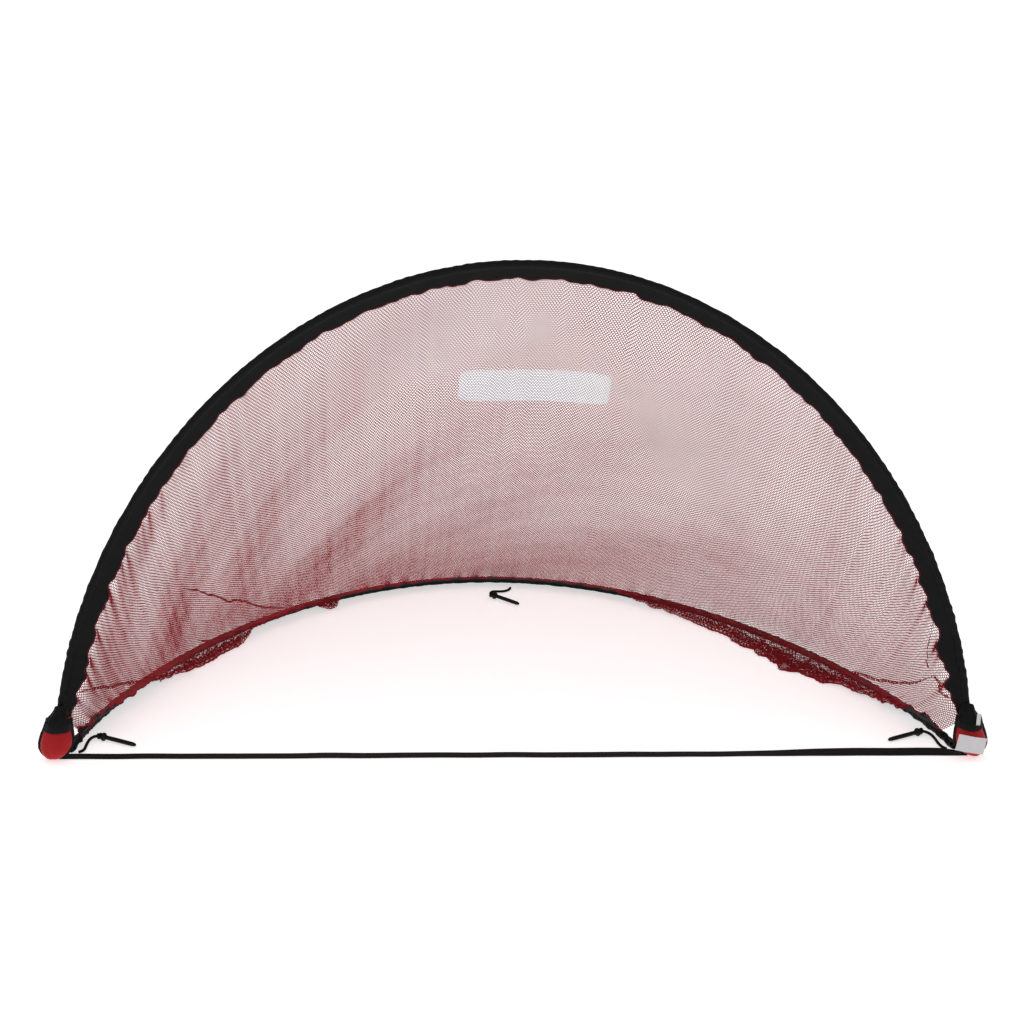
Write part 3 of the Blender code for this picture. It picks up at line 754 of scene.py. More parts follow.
class Gathers:
    """How one sleeve puckers: its flap's edge, its waves, and the bunching towards its ends."""

    def __init__(self, hoop, seed, edge, wave, bunch_reach, right_bunch=1.0):
        self.hoop = hoop
        self.edge = edge
        self.wave = wave
        self.bunch_reach = bunch_reach
        self.right_bunch = right_bunch
        ripples = [Ripple(seed + i, length) for i, length in enumerate(GATHER_LENGTHS)]
        self.slow, self.quick, self.fold, self.crumple = ripples

    def bunch(self, s):
        left = np.exp(-s / self.bunch_reach)
        right = np.exp(-(self.hoop.length - s) / self.bunch_reach) * self.right_bunch
        return left + right

    def reach(self, s):
        """The flap's edge, scalloped by the gathers."""
        share = (self.hoop.reach(s) - FLAP_CORNER_REACH) / (FLAP_REACH - FLAP_CORNER_REACH)
        size = self.edge * (1 + EDGE_BUNCHED * self.bunch(s)) * (0.25 + 0.75 * share)
        return self.hoop.reach(s) + size * (self.slow.at(s) + QUICK_SHARE * self.quick.at(s))

    def lift(self, s, share):
        """How far the flap stands off its plane, share being 0 at the rod and 1 at the edge."""
        size = self.wave * (1 + WAVE_BUNCHED * self.bunch(s))
        folds = self.fold.at(s, share * 0.02) + CRUMPLE_SHARE * self.crumple.at(s, share * 0.02)
        return size * share * folds

    def swell(self, s, turn):
        """How far the tube stands off its round shape."""
        size = SWELL + SWELL_BUNCHED * self.bunch(s)
        return size * self.crumple.at(s, turn * TUBE_RADIUS) + size * self.fold.at(s, turn * 0.01)


ARCH_GATHERS = Gathers(ARCH, 11, 0.0034, 0.0016, 0.22, 1.5)
BASE_GATHERS = Gathers(BASE, 31, 0.0030, 0.0026, 0.40, 1.0)


def flap_point(hoop, gathers, s, reach, offset):
    """A point of the flap, at a distance from the rod's middle and an offset square to the flap."""
    centre = hoop.centre(s)
    along_flap, across_flap = hoop.axes(s)
    share = np.clip((reach - TUBE_RADIUS) / (gathers.reach(s) - TUBE_RADIUS), 0, 1.2)
    lifted = offset + gathers.lift(s, share)
    return centre + along_flap * reach[..., None] + across_flap * lifted[..., None]


def sleeve_rings(hoop, gathers, stations, inset):
    """Rings of points round one skin of the sleeve. inset is 0 outside and a cloth's thickness inside."""
    s = stations[:, None]
    turn = np.linspace(FLAP_SLIT, 2 * math.pi - FLAP_SLIT, TUBE_POINTS)[None, :]
    radius = TUBE_RADIUS - inset + (gathers.swell(s, turn) if inset == 0 else 0.0)
    centre = hoop.centre(stations)[:, None]
    along_flap, across_flap = (axis[:, None] for axis in hoop.axes(stations))
    tube = centre + along_flap * (radius * np.cos(turn))[..., None]
    tube = tube + across_flap * (radius * np.sin(turn))[..., None]
    if inset:
        return tube, np.broadcast_to(turn * radius, tube.shape[:2])
    out = np.linspace(0.0, 1.0, FLAP_POINTS + 1)[None, 1:]
    start = TUBE_RADIUS * math.cos(FLAP_SLIT)
    edge = gathers.reach(stations)[:, None]
    reach = start + (edge - start) * out
    half = FLAP_PLY + (TUBE_RADIUS * math.sin(FLAP_SLIT) - FLAP_PLY) * np.exp(-out * FLAP_FLARE)
    half[:, -1] *= FLAP_EDGE_SHARE
    stations_wide = np.broadcast_to(s, reach.shape)
    upper = flap_point(hoop, gathers, stations_wide, reach, half)
    lower = flap_point(hoop, gathers, stations_wide, reach, -half)
    rings = np.concatenate([tube, lower, upper[:, ::-1]], axis=1)
    tube_around = np.broadcast_to(turn * TUBE_RADIUS, radius.shape)
    return rings, np.concatenate([tube_around, 0.05 + reach, 0.10 + reach[:, ::-1]], axis=1)


def build_sleeve(body, hoop, gathers, materials):
    count = int((hoop.length - 2 * SLEEVE_START) / RING_STEP)
    stations = np.linspace(SLEEVE_START, hoop.length - SLEEVE_START, count)
    outer, around = sleeve_rings(hoop, gathers, stations, 0)
    inner, inner_around = sleeve_rings(hoop, gathers, stations, CLOTH)
    outer[..., 2] = np.maximum(outer[..., 2], 0.0)
    n_outer, n_inner = outer.shape[1], inner.shape[1]
    points = np.concatenate([outer.reshape(-1, 3), inner.reshape(-1, 3)])
    flat = [
        np.stack([np.broadcast_to(stations[:, None], a.shape), a], -1).reshape(-1, 2)
        for a in (around, inner_around)
    ]
    faces = np.concatenate([
        grid_faces(count, n_outer, closed=True),
        grid_faces(count, n_inner, closed=True, flip=True, start=count * n_outer),
    ])
    item = mesh_object(f"{body}_sleeve_cloth", points, faces, materials["sleeve"], np.concatenate(flat))
    bm = bmesh.new()
    bm.from_mesh(item.data)
    bm.verts.ensure_lookup_table()
    for ring in (0, count - 1):
        rim = [bm.verts[ring * n_outer + i] for i in range(n_outer)]
        hollow = [bm.verts[count * n_outer + ring * n_inner + i] for i in range(n_inner)]
        fill_between(bm, rim, hollow)
    bmesh.ops.recalc_face_normals(bm, faces=bm.faces)
    bm.to_mesh(item.data)
    bm.free()
    item.data.shade_smooth()
    stitches = build_stitches(f"{body}_sleeve_stitching", hoop, gathers, stations, materials)
    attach(item, body)
    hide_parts(f"{body}_sleeve")
    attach(stitches, body)


def fill_between(bm, rim, hollow):
    """Close a sleeve's end between its outer ring and its round hollow."""
    share = len(rim) / len(hollow)
    for i, a in enumerate(hollow):
        b = hollow[(i + 1) % len(hollow)]
        outer = [rim[k % len(rim)] for k in range(round(i * share), round((i + 1) * share) + 1)]
        bm.faces.new(list(dict.fromkeys([a, *outer, b])))


def build_stitches(name, hoop, gathers, stations, materials):
    """Two rows of stitches on both faces of the flap: beside the rod, and near the flap's edge."""
    places = np.arange(stations[0] + STITCH_END, stations[-1] - STITCH_END, STITCH_PITCH)
    side, up = (axis * STITCH_RADIUS for axis in hoop.axes(places))
    blocks = []
    for share in STITCH_ROWS:
        reach = TUBE_RADIUS + (gathers.reach(places) - TUBE_RADIUS) * share
        for sign in (1, -1):
            offset = np.full_like(places, sign * (FLAP_PLY + STITCH_RADIUS * 0.4))
            ends = [
                flap_point(hoop, gathers, places + half, reach, offset)
                for half in (-STITCH_LENGTH / 2, STITCH_LENGTH / 2)
            ]
            blocks.append(np.stack([end + out for end in ends for out in (side, up, -side, -up)], 1))
    points = np.concatenate(blocks)
    corners = [[0, 1, 5, 4], [1, 2, 6, 5], [2, 3, 7, 6], [3, 0, 4, 7], [3, 2, 1, 0], [4, 5, 6, 7]]
    faces = 8 * np.arange(len(points))[:, None, None] + np.array(corners)
    points = points.reshape(-1, 3)
    points[:, 2] = np.maximum(points[:, 2], 0.0001)
    return mesh_object(name, points, faces.reshape(-1, 4), materials["thread"], smooth=False)


# ---------------------------------------------------------------- net


SLACK = [
    # (share of the base hoop, how far the slack hangs in front of the flap, how far it lies inside it)
    (0.000, 0.00, 0.000),
    (0.115, 0.00, 0.000),
    (0.145, 0.55, 0.004),
    (0.185, 1.00, 0.012),
    (0.235, 1.00, 0.008),
    (0.262, 0.25, 0.000),
    (0.330, 0.20, 0.000),
    (0.345, 0.95, 0.008),
    (0.362, 0.10, 0.000),
    (0.600, 0.00, 0.000),
    (0.660, 0.80, 0.002),
    (0.720, 1.00, 0.016),
    (0.770, 1.00, 0.040),
    (0.815, 1.00, 0.058),
    (0.850, 1.00, 0.036),
    (0.880, 0.70, 0.010),
    (0.925, 0.45, 0.000),
    (0.955, 0.00, 0.000),
    (1.000, 0.00, 0.000),
]


def slack(share, which):
    """How far slack net hangs (1) or lies inside the base (2), at a share of the base hoop."""
    stations = np.array([row[0] for row in SLACK])
    values = np.array([row[which] for row in SLACK])
    i = np.clip(np.searchsorted(stations, share, side="right") - 1, 0, len(stations) - 2)
    part = smoothstep((share - stations[i]) / (stations[i + 1] - stations[i]))
    return values[i] + (values[i + 1] - values[i]) * part


SLACK_RIPPLE = Ripple(57, 0.055)
NET_FOOT = (0.55, 0.15, -0.10)    # where the stretched net ends, as one place of the path below
HANG_PATH = [
    # (out, lie, fall): over the fold, down its front, back along the ground, and one pleat inside
    (0.85, 0.30, 0.00),
    (1.05, 0.52, 0.28),
    (1.10, 0.78, 0.66),
    (1.00, 0.96, 0.90),
    (0.85, 1.00, 0.98),
    (0.60, 0.82, 1.00),
    (0.42, 0.48, 0.97),
    (0.36, 0.34, 0.70),
    (0.42, 0.30, 0.34),
    (0.60, 0.38, 0.24),
    (0.74, 0.56, 0.48),
    (0.70, 0.66, 0.78),
    (0.50, 0.50, 0.86),
    (0.22, 0.22, 0.60),
    (0.08, 0.06, 0.22),
]


def net_table():
    """The net's surface as a grid of points: columns along the hoops, rows down from the arch."""
    arch_s = NET_CORNER + np.linspace(0, 1, TABLE_COLUMNS) * (ARCH.length - 2 * NET_CORNER)
    base_s = arch_s / ARCH.length * BASE.length
    top_reach = ARCH_GATHERS.reach(arch_s)
    bottom_reach = BASE_GATHERS.reach(base_s)
    zero = np.zeros_like(arch_s)
    tucked_top = flap_point(ARCH, ARCH_GATHERS, arch_s, top_reach - NET_TUCK, zero)
    top = flap_point(ARCH, ARCH_GATHERS, arch_s, top_reach, zero)
    bottom = flap_point(BASE, BASE_GATHERS, base_s, bottom_reach, zero)
    tucked_bottom = flap_point(BASE, BASE_GATHERS, base_s, bottom_reach - NET_TUCK, zero)
    inward = unit(BASE.axes(base_s)[0] * np.array([1.0, 1.0, 0.0]))
    base_share = base_s / BASE.length
    level = np.array([0.0, 0.0, 1.0])

    def hang_point(start, ripple, out, lie, fall):
        """Out from the flap's edge by a share of the hang and of the lie, and down by a share."""
        drop = np.clip(slack(base_share, 1) * (1 + HANG_RIPPLE * ripple), 0.0, HANG_MOST)
        depth = slack(base_share, 2) * (1 + LIE_RIPPLE * ripple)
        outwards = out * HANG_OUT * drop + lie * depth
        down = fall * drop * start[:, 2]
        return start + inward * outwards[:, None] - level * down[:, None]

    ripple = SLACK_RIPPLE.at(base_s)
    foot = hang_point(bottom, ripple, *NET_FOOT)
    even_top = ARCH.even_edge(arch_s)
    even_bottom = BASE.even_edge(base_s)
    span = even_bottom - even_top
    width = np.linalg.norm(span, axis=1)[:, None]
    hang = np.stack([zero, span[:, 2], -span[:, 1]], -1)
    pull = even_top + span * NET_SAG_PLACE + unit(hang) * width * NET_SAG
    t = np.linspace(0, 1, FALL_ROWS)[None, :, None]
    fall = even_top[:, None] * (1 - t) ** 2 + pull[:, None] * (2 * t * (1 - t)) + even_bottom[:, None] * t**2
    near_top = np.exp(-t * width[..., None] / NET_EVENS_OUT)
    near_foot = np.exp(-(1 - t) * width[..., None] / NET_EVENS_OUT)
    fall = fall + (top - even_top)[:, None] * near_top + (foot - even_bottom)[:, None] * near_foot
    loose = [hang_point(bottom, ripple, *place) for place in HANG_PATH]
    columns = np.concatenate(
        [tucked_top[:, None], fall, np.stack(loose, 1), bottom[:, None], tucked_bottom[:, None]], axis=1
    )
    return arch_s, *even_rows(columns)


def even_rows(columns):
    """Resample each column evenly along its own length, and return the lengths too."""
    steps = np.linalg.norm(np.diff(columns, axis=1), axis=2)
    along = np.concatenate([np.zeros((len(columns), 1)), np.cumsum(steps, axis=1)], axis=1)
    lengths = along[:, -1]
    grid = np.empty((len(columns), TABLE_ROWS, 3))
    wanted = np.linspace(0, 1, TABLE_ROWS)
    for i, column in enumerate(columns):
        for axis in range(3):
            grid[i, :, axis] = np.interp(wanted * lengths[i], along[i], column[:, axis])
    return grid, lengths


def surface_normals(grid):
    across = np.gradient(grid, axis=0)
    down = np.gradient(grid, axis=1)
    return unit(np.cross(down, across))


FOLDS = [
    # (places on the net, each a share along the arch and a share of the way down; height)
    ([(0.040, 0.010), (0.064, 0.457), (0.095, 0.760), (0.119, 0.903), (0.142, 0.970)], 0.0075),
    (
        [(0.850, 0.880), (0.872, 0.755), (0.898, 0.688), (0.922, 0.507), (0.936, 0.262), (0.938, 0.187)],
        0.0075,
    ),
    ([(0.938, 0.187), (0.957, 0.114), (0.966, 0.039)], 0.0085),
    ([(0.907, 0.010), (0.916, 0.153), (0.931, 0.209)], 0.0055),
    ([(0.192, 0.772), (0.212, 0.840), (0.234, 0.894)], 0.0060),
    ([(0.195, 0.430), (0.239, 0.655), (0.271, 0.844), (0.310, 0.960)], 0.0062),
]


def wrinkle(grid, lengths, arch_s):
    """Push the net's surface about, with slow billows and with lines of tension at the arch's sleeve."""
    normals = surface_normals(grid)
    down = np.linspace(0, 1, TABLE_ROWS)[None, :] * lengths[:, None]
    s = np.broadcast_to(arch_s[:, None], down.shape)
    to_edge = np.minimum(down, lengths[:, None] - down)
    held = smoothstep(to_edge / BILLOW_FADE)
    billow = sum(Ripple(seed, length, 6).at(s, down) * height for seed, length, height in BILLOWS)
    billow = billow * (0.25 + 0.75 * smoothstep((lengths[:, None] - down) / BILLOW_FOOT))
    seed, length, height = TENSION
    tension = Ripple(seed, length, 5).at(s, down * 0.15) * height * np.exp(-down / TENSION_REACH)
    tension = tension * smoothstep(down / 0.012)
    push = billow * held + tension
    grid = grid + normals * push[..., None]
    grid[..., 2] = np.maximum(grid[..., 2], NET_LOWEST)
    return grid


def table_values(table, column, row):
    """Values of a table between its grid points."""
    column = np.clip(column, 0, table.shape[0] - 1.001)
    row = np.clip(row, 0, table.shape[1] - 1.001)
    i, j = column.astype(int), row.astype(int)
    a, b = (column - i)[:, None], (row - j)[:, None]
    low = table[i, j] * (1 - b) + table[i, j + 1] * b
    high = table[i + 1, j] * (1 - b) + table[i + 1, j + 1] * b
    return low * (1 - a) + high * a


def hex_lattice(width, height):
    """A flat honeycomb of strands: points (x, y, ridge) and quads, with a column for each quad."""
    radius = CELL / math.sqrt(3)
    columns = int(width / CELL) + 2
    rows = int(height / (1.5 * radius)) + 4
    i, j = np.meshgrid(np.arange(columns), np.arange(rows), indexing="ij")
    centre_x = i * CELL + (j % 2) * CELL / 2
    centre_y = (j - 1) * 1.5 * radius
    corner = STRAND / 2 / math.sin(math.radians(60))
    points = []
    for sign in (1, -1):
        x, y = centre_x, centre_y + sign * radius
        points.append(np.stack([x, y, np.ones_like(x)], -1))
        for degrees in (90, 210, 330):
            angle = math.radians(degrees) * -sign
            points.append(np.stack([x + corner * math.cos(angle), y + corner * math.sin(angle), 0 * x], -1))
    points = np.stack(points, 2)

    def index(column, row, which):
        return (column * rows + row) * 8 + which

    # On an upper joint (sign 1) the corners point to -90, 150 and 30 degrees, and on a lower
    # joint (sign -1) to 90, 210 and 330 degrees. The middle of an upper joint is 0, of a lower 4.
    up_mid, up_low, up_left, up_right = 0, 1, 2, 3
    low_mid, low_top, low_left, low_right = 4, 5, 6, 7
    a = i[:, :-2], j[:, :-2]
    shift = a[1] % 2
    quads = []

    def strand(target, first, second):
        """The two halves of a strand, each between the middles and one pair of corners (here, there)."""
        here, there = index(*a, up_mid), index(*target, low_mid)
        quads.append(np.stack([index(*a, first[0]), here, there, index(*target, first[1])], -1))
        quads.append(np.stack([here, index(*a, second[0]), index(*target, second[1]), there], -1))

    strand((a[0], a[1] + 2), (up_left, low_left), (up_right, low_right))
    strand((a[0] + shift, a[1] + 1), (up_right, low_top), (up_low, low_left))
    strand((a[0] + shift - 1, a[1] + 1), (up_low, low_right), (up_left, low_top))
    faces = np.stack(quads, 2)
    whole = np.broadcast_to(((a[0] > 0) & (a[0] < columns - 1))[..., None], faces.shape[:3])
    column_of = np.broadcast_to(a[0][..., None], faces.shape[:3])
    return points.reshape(-1, 3), faces[whole], column_of[whole], columns


def folded_strip(path, height, grid, normals, arch_s):
    """A fold of the net pinched up along a path and laid over downwards: a doubled strip of honeycomb."""
    columns = (np.array([place[0] for place in path]) * ARCH.length - arch_s[0]) / (arch_s[-1] - arch_s[0])
    rows = np.array([place[1] for place in path]) * (TABLE_ROWS - 1)
    route = smooth_path([(c, r, 0) for c, r in zip(columns * (TABLE_COLUMNS - 1), rows)], 16)
    route = np.array([tuple(point) for point in route])
    line = table_values(grid, route[:, 0], route[:, 1])
    along = np.concatenate([[0.0], np.cumsum(np.linalg.norm(np.diff(line, axis=0), axis=1))])
    points, faces = hex_lattice(along[-1], 2 * height)[:2]
    flat = points[:, :2]
    inside = ((flat >= 0) & (flat <= (along[-1], 2 * height))).all(axis=1)
    faces = faces[inside[faces].all(axis=1)]

    def on_net(distance):
        column, row = np.interp(distance, along, route[:, 0]), np.interp(distance, along, route[:, 1])
        return table_values(grid, column, row), table_values(normals, column, row)

    base, normal = on_net(points[:, 0])
    ahead = on_net(points[:, 0] + 0.004)[0] - on_net(points[:, 0] - 0.004)[0]
    side = unit(np.cross(normal, ahead))
    side = side * np.where(side[:, 2:] > 0, -1, 1)
    across = points[:, 1] / height - 1
    swell = np.sin(np.pi * np.clip(points[:, 0] / along[-1], 0.04, 0.96)) ** 0.5
    stand = (1 - np.abs(across)) * height * swell
    lift = FOLD_LIFT + FOLD_RISE * stand + 0.0004 * np.sign(across) + points[:, 2] * YARN_RIDGE
    place = base + side * (FOLD_LEAN * stand)[:, None] + normal * lift[:, None]
    place[:, 2] = np.maximum(place[:, 2], NET_LOWEST)
    return place, flat, faces, int(columns.mean() * NET_PIECES)


def build_net(materials):
    arch_s, grid, lengths = net_table()
    grid = wrinkle(grid, lengths, arch_s)
    normals = surface_normals(grid)
    flat_width = arch_s[-1] - arch_s[0]
    points, faces, column_of, columns = hex_lattice(flat_width, lengths.max())
    column = points[:, 0] / flat_width * (TABLE_COLUMNS - 1)
    length_there = np.interp(column, np.arange(TABLE_COLUMNS), lengths)
    inside = (column >= 0) & (column <= TABLE_COLUMNS - 1)
    inside &= (points[:, 1] >= 0) & (points[:, 1] <= length_there)
    keep = inside[faces].all(axis=1)
    faces, column_of = faces[keep], column_of[keep]
    row = points[:, 1] / np.maximum(length_there, 1e-6) * (TABLE_ROWS - 1)
    place = table_values(grid, column, row)
    place = place + table_values(normals, column, row) * (points[:, 2:] * YARN_RIDGE)
    flat = points[:, :2]
    printed = print_mask(place[faces].mean(axis=1))
    for path, height in FOLDS:
        strip, strip_flat, strip_faces, piece = folded_strip(path, height, grid, normals, arch_s)
        faces = np.concatenate([faces, strip_faces + len(place)])
        place = np.concatenate([place, strip])
        flat = np.concatenate([flat, strip_flat + [piece * flat_width / NET_PIECES + CELL, 0]])
        strip_column = np.full(len(strip_faces), (piece + 0.5) * columns / NET_PIECES)
        column_of = np.concatenate([column_of, strip_column])
        printed = np.concatenate([printed, np.zeros(len(strip_faces), bool)])
    for number in range(NET_PIECES):
        low, high = columns * number / NET_PIECES, columns * (number + 1) / NET_PIECES
        chosen = (column_of >= low) & (column_of < high)
        net_piece(number, place, flat, faces[chosen], printed[chosen], materials)
    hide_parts("net")


def print_mask(middles):
    """The faces of the plain pale panel printed on the net, seen from the front."""
    x, z = middles[:, 0], middles[:, 2]
    across = (x - PRINT_MIDDLE[0]) / PRINT_SIZE[0] * 2
    rise = (z - PRINT_MIDDLE[1] - PRINT_SLOPE * (x - PRINT_MIDDLE[0])) / PRINT_SIZE[1] * 2
    return across**8 + rise**8 < 1


def net_piece(number, place, flat, faces, printed, materials):
    """One of the net's pieces, side by side."""
    used, local = np.unique(faces, return_inverse=True)
    points = place[used]
    looks = [materials["yarn"], materials["print"]]
    item = mesh_object(f"net_{number + 1}", points, local.reshape(faces.shape), looks, flat[used])
    item.data.polygons.foreach_set("material_index", printed.astype(np.int32))
    item.data.update()
    quads = flat[faces]
    area = 0.5 * np.abs(cross2(quads[:, 2] - quads[:, 0], quads[:, 3] - quads[:, 1])).sum()
    area *= math.hypot(1.0, YARN_RIDGE / (STRAND / 2))
    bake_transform(item)
    return item


def cross2(a, b):
    return a[:, 0] * b[:, 1] - a[:, 1] * b[:, 0]


# ---------------------------------------------------------------- pouches and small goods


def pouch_width_share(height):
    """A pouch's width at a height, as a share of its widest: round below, and narrower at its mouth."""
    round_part = np.minimum(height / POUCH_HALF_WIDTH, 1.0)
    rise = np.clip((height - POUCH_HALF_WIDTH) / (POUCH_HEIGHT - POUCH_HALF_WIDTH), 0, 1)
    return np.sqrt(np.maximum(1 - (1 - round_part) ** 2, 0.0)) * (1 - POUCH_TAPER * smoothstep(rise))


def corner_seed(left, side):
    """The seed of a corner's ripples, given the left corner's."""
    return left if side < 0 else left + 2


def pouch_depth(height):
    """How far a pouch reaches forwards at a height: most at its bottom."""
    return POUCH_DEPTH_TOP + (POUCH_DEPTH_BOTTOM - POUCH_DEPTH_TOP) * (1 - height / POUCH_HEIGHT)


def pouch_points(side, height, turn, growth):
    """Points of a pouch's wall. turn runs from 0, inner back edge, to pi, outer back edge."""
    width_share = pouch_width_share(height)
    half = POUCH_HALF_WIDTH * width_share + growth
    x = side * (POUCH_MIDDLE - POUCH_SHEAR * height) - side * half * np.cos(turn)
    y = POUCH_RIM - (pouch_depth(height) * width_share + growth) * np.sin(turn)
    return np.stack([x, y, POUCH_BOTTOM + height + 0 * turn], -1)


def pouch_creases(side, height, turn):
    """How far the cloth stands off its even shape: creases, and a waist under the band."""
    seed = corner_seed(71, side)
    creases = sum(
        Ripple(seed + i, length).at(height, turn * POUCH_HALF_WIDTH) * size
        for i, (length, size) in enumerate(POUCH_CREASES)
    )
    band = np.exp(-(((height - BAND_HEIGHT) / POUCH_WAIST_REACH) ** 2))
    return (creases * (1 - 0.6 * band) - POUCH_WAIST * band) * np.sin(turn) ** 0.5


def build_pouch(side, word, materials):
    turns = np.linspace(0, math.pi, 61)[None, :]
    low = 0.0006
    round_heights = low + (POUCH_HALF_WIDTH - low) * np.linspace(0, 1, 18, endpoint=False) ** 1.7
    upper = np.linspace(POUCH_HALF_WIDTH, POUCH_HEIGHT, 44)
    heights = np.concatenate([round_heights, upper])[:, None]
    push = pouch_creases(side, heights, np.clip(turns, 1e-6, math.pi - 1e-6))
    outer = pouch_points(side, heights, turns, push)
    inner = pouch_points(side, heights, turns, push - POUCH_WALL)
    item = shell_object(f"pouch_{word}", outer, inner, (turns * POUCH_ROUND, heights), materials["pouch"])
    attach(item, "base")
    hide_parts(f"corner_pocket_{word}")
    build_binding(side, word, materials)
    build_band(side, word, materials)
    build_collar(side, word, materials)


def build_collar(side, word, materials):
    """The gathered cloth that closes a pouch's mouth round the front of the arch's sleeve."""
    turns = np.linspace(1e-6, 1 - 1e-6, 65)[None, :] * math.pi
    share = np.linspace(0, 1, 25)[:, None]
    height = COLLAR_LOW + (COLLAR_HIGH - COLLAR_LOW) * share
    low = pouch_width_share(COLLAR_LOW) * POUCH_HALF_WIDTH
    half = low + (COLLAR_RADIUS - low) * smoothstep(share)
    middle = POUCH_MIDDLE - POUCH_SHEAR * COLLAR_LOW
    middle = middle + (HALF_WIDTH - COLLAR_SHIFT - middle) * share
    deep = pouch_depth(COLLAR_LOW)
    depth = deep + (COLLAR_RADIUS + COLLAR_SPARE_DEPTH - deep) * smoothstep(share)
    rim = POUCH_RIM + (height * math.tan(ARCH_LEAN) - POUCH_RIM) * share
    seed = corner_seed(75, side)
    length, size = COLLAR_FOLDS
    folds = Ripple(seed, length).at(turns * 0.03, height * 0.35) * size
    length, size = COLLAR_CRUMPLES
    folds = folds + Ripple(seed + 1, length).at(height, turns * 0.02) * size
    folds = folds * np.sin(turns) ** 0.5
    edge = Ripple(seed + 4, 0.02).at(turns * 0.03) * COLLAR_EDGE_WAVES * (1 - share)
    edge = edge - COLLAR_DROOP * share * np.cos(turns) ** 4
    skins = []
    for growth in COLLAR_OUT:
        out = growth + folds
        x = side * (middle - (half + out) * np.cos(turns))
        y = rim - (depth + out) * np.sin(turns)
        skins.append(np.stack(np.broadcast_arrays(x, y, POUCH_BOTTOM + height + edge), -1))
    item = shell_object(f"collar_{word}", *skins, (turns * POUCH_ROUND, height), materials["sleeve"])
    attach(item, "base")


def build_binding(side, word, materials):
    """The binding round a pouch's open back edge: folded tape, flattened and slightly puckered."""
    y = POUCH_RIM + CONTACT_GAP
    radius = POUCH_HALF_WIDTH
    arc = [radius * (1 - math.sin(a)) for a in np.linspace(0, math.pi / 2, 9)]
    rise = list(np.linspace(POUCH_HEIGHT - BINDING_RADIUS, radius + 0.004, 10))
    heights = np.array(rise + arc)
    half = POUCH_HALF_WIDTH * pouch_width_share(heights) + BINDING_OUT
    lean = -POUCH_SHEAR * heights
    z = np.maximum(POUCH_BOTTOM + heights, BINDING_RADIUS + 0.0002)
    inner, outer = (
        [(side * (POUCH_MIDDLE + a + way * b), y, c) for a, b, c in zip(lean, half, z)] for way in (-1, 1)
    )
    points = smooth_path(inner[:-1] + outer[::-1][1:], 3)
    pucker = Ripple(corner_seed(81, side), 0.012).at(np.arange(len(points)) * 0.002)
    radii = BINDING_RADIUS * (0.94 + 0.06 * pucker)
    item = tube_object(f"binding_{word}", points, radii, materials["webbing"], sides=14)
    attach(item, "base")
    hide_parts(f"pocket_binding_{word}")


def build_band(side, word, materials):
    """A webbing band round the front of a pouch, with thick edges."""
    turns = np.linspace(0.04 * math.pi, 0.96 * math.pi, 49)[None, :]
    profile = np.linspace(-0.5, 0.5, 9)
    heights = (BAND_HEIGHT + profile * BAND_WIDTH)[:, None]
    sway = Ripple(corner_seed(85, side), 0.05).at(turns * 0.03) * 0.0012
    bulge = 0.0002 * (1 - (2 * profile[:, None]) ** 2)
    near = pouch_points(side, heights + sway, turns, CONTACT_GAP - 0.0004)
    far = pouch_points(side, heights + sway, turns, CONTACT_GAP + WEBBING + bulge)
    item = shell_object(f"band_{word}", far, near, (turns * POUCH_ROUND, heights), materials["webbing"])
    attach(item, "base")
    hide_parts(f"pocket_band_{word}")


def build_floor_strap(materials):
    """The webbing strap along the goal line, slightly bowed, and turned a little at its right end."""
    x = np.linspace(-HALF_WIDTH, HALF_WIDTH, STRAP_COLUMNS)[:, None]
    across = np.linspace(-0.5, 0.5, 9)[None, :]
    length, size = STRAP_BOW
    bow = Ripple(91, length).at(x) * size * smoothstep((HALF_WIDTH - np.abs(x)) / 0.1)
    turn = STRAP_TURN * smoothstep((x - STRAP_TURN_START) / 0.25) * smoothstep((HALF_WIDTH - x) / 0.06)
    length, size = STRAP_RIPPLE
    ripple = (Ripple(92, length).at(x) * 0.5 + 0.5) * size
    width = STRAP_WIDTH * (1 + 0.015 * Ripple(93, 0.2).at(x))
    y = bow + across * width * np.cos(turn)
    rise = (across + 0.5) * width * np.sin(turn) + ripple
    thickness = WEBBING * (1 - 0.35 * (2 * np.abs(across)) ** 6)
    upper = np.stack(np.broadcast_arrays(x, y, rise + thickness), -1)
    lower = np.stack(np.broadcast_arrays(x, y, rise + 0.0001), -1)
    item = shell_object("goal_line_strap", upper, lower, (x, across * STRAP_WIDTH), materials["webbing"])
    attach(item, "base")
    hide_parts("floor_strap")


def build_labels(materials):
    middle = np.add(*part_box("care_label")) / 2 + np.array(LABEL_SHIFT)
    item = ribbon("care_label_cloth", middle, LABEL_SIZE, LABEL_TILT, LABEL_CURL, materials["label"], 95)
    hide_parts("care_label")
    middle = np.add(*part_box("size_tag")) / 2
    item = ribbon("size_tag_cloth", middle, TAG_SIZE, 0.0, TAG_CURL, materials["label"], 97)
    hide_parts("size_tag")


def ribbon(name, middle, size, tilt, curl, material, seed):
    """A small label of ribbon that faces the front and curls a little."""
    u = np.linspace(-0.5, 0.5, 33)[:, None]
    v = np.linspace(-0.5, 0.5, 21)[None, :]
    across, up = u * size[0], v * size[1]
    bend = curl * (np.cos(u * math.pi) - 0.5) + 0.25 * curl * Ripple(seed, 0.03).at(across, up)
    x = across * math.cos(tilt) + up * math.sin(tilt)
    z = up * math.cos(tilt) - across * math.sin(tilt)
    front = np.stack([x, -bend, z], -1) + middle
    item = shell_object(name, front, front + np.array([0, RIBBON, 0]), (across, up), material)
    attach(item, "base")
    return item


# ---------------------------------------------------------------- tethers and pegs


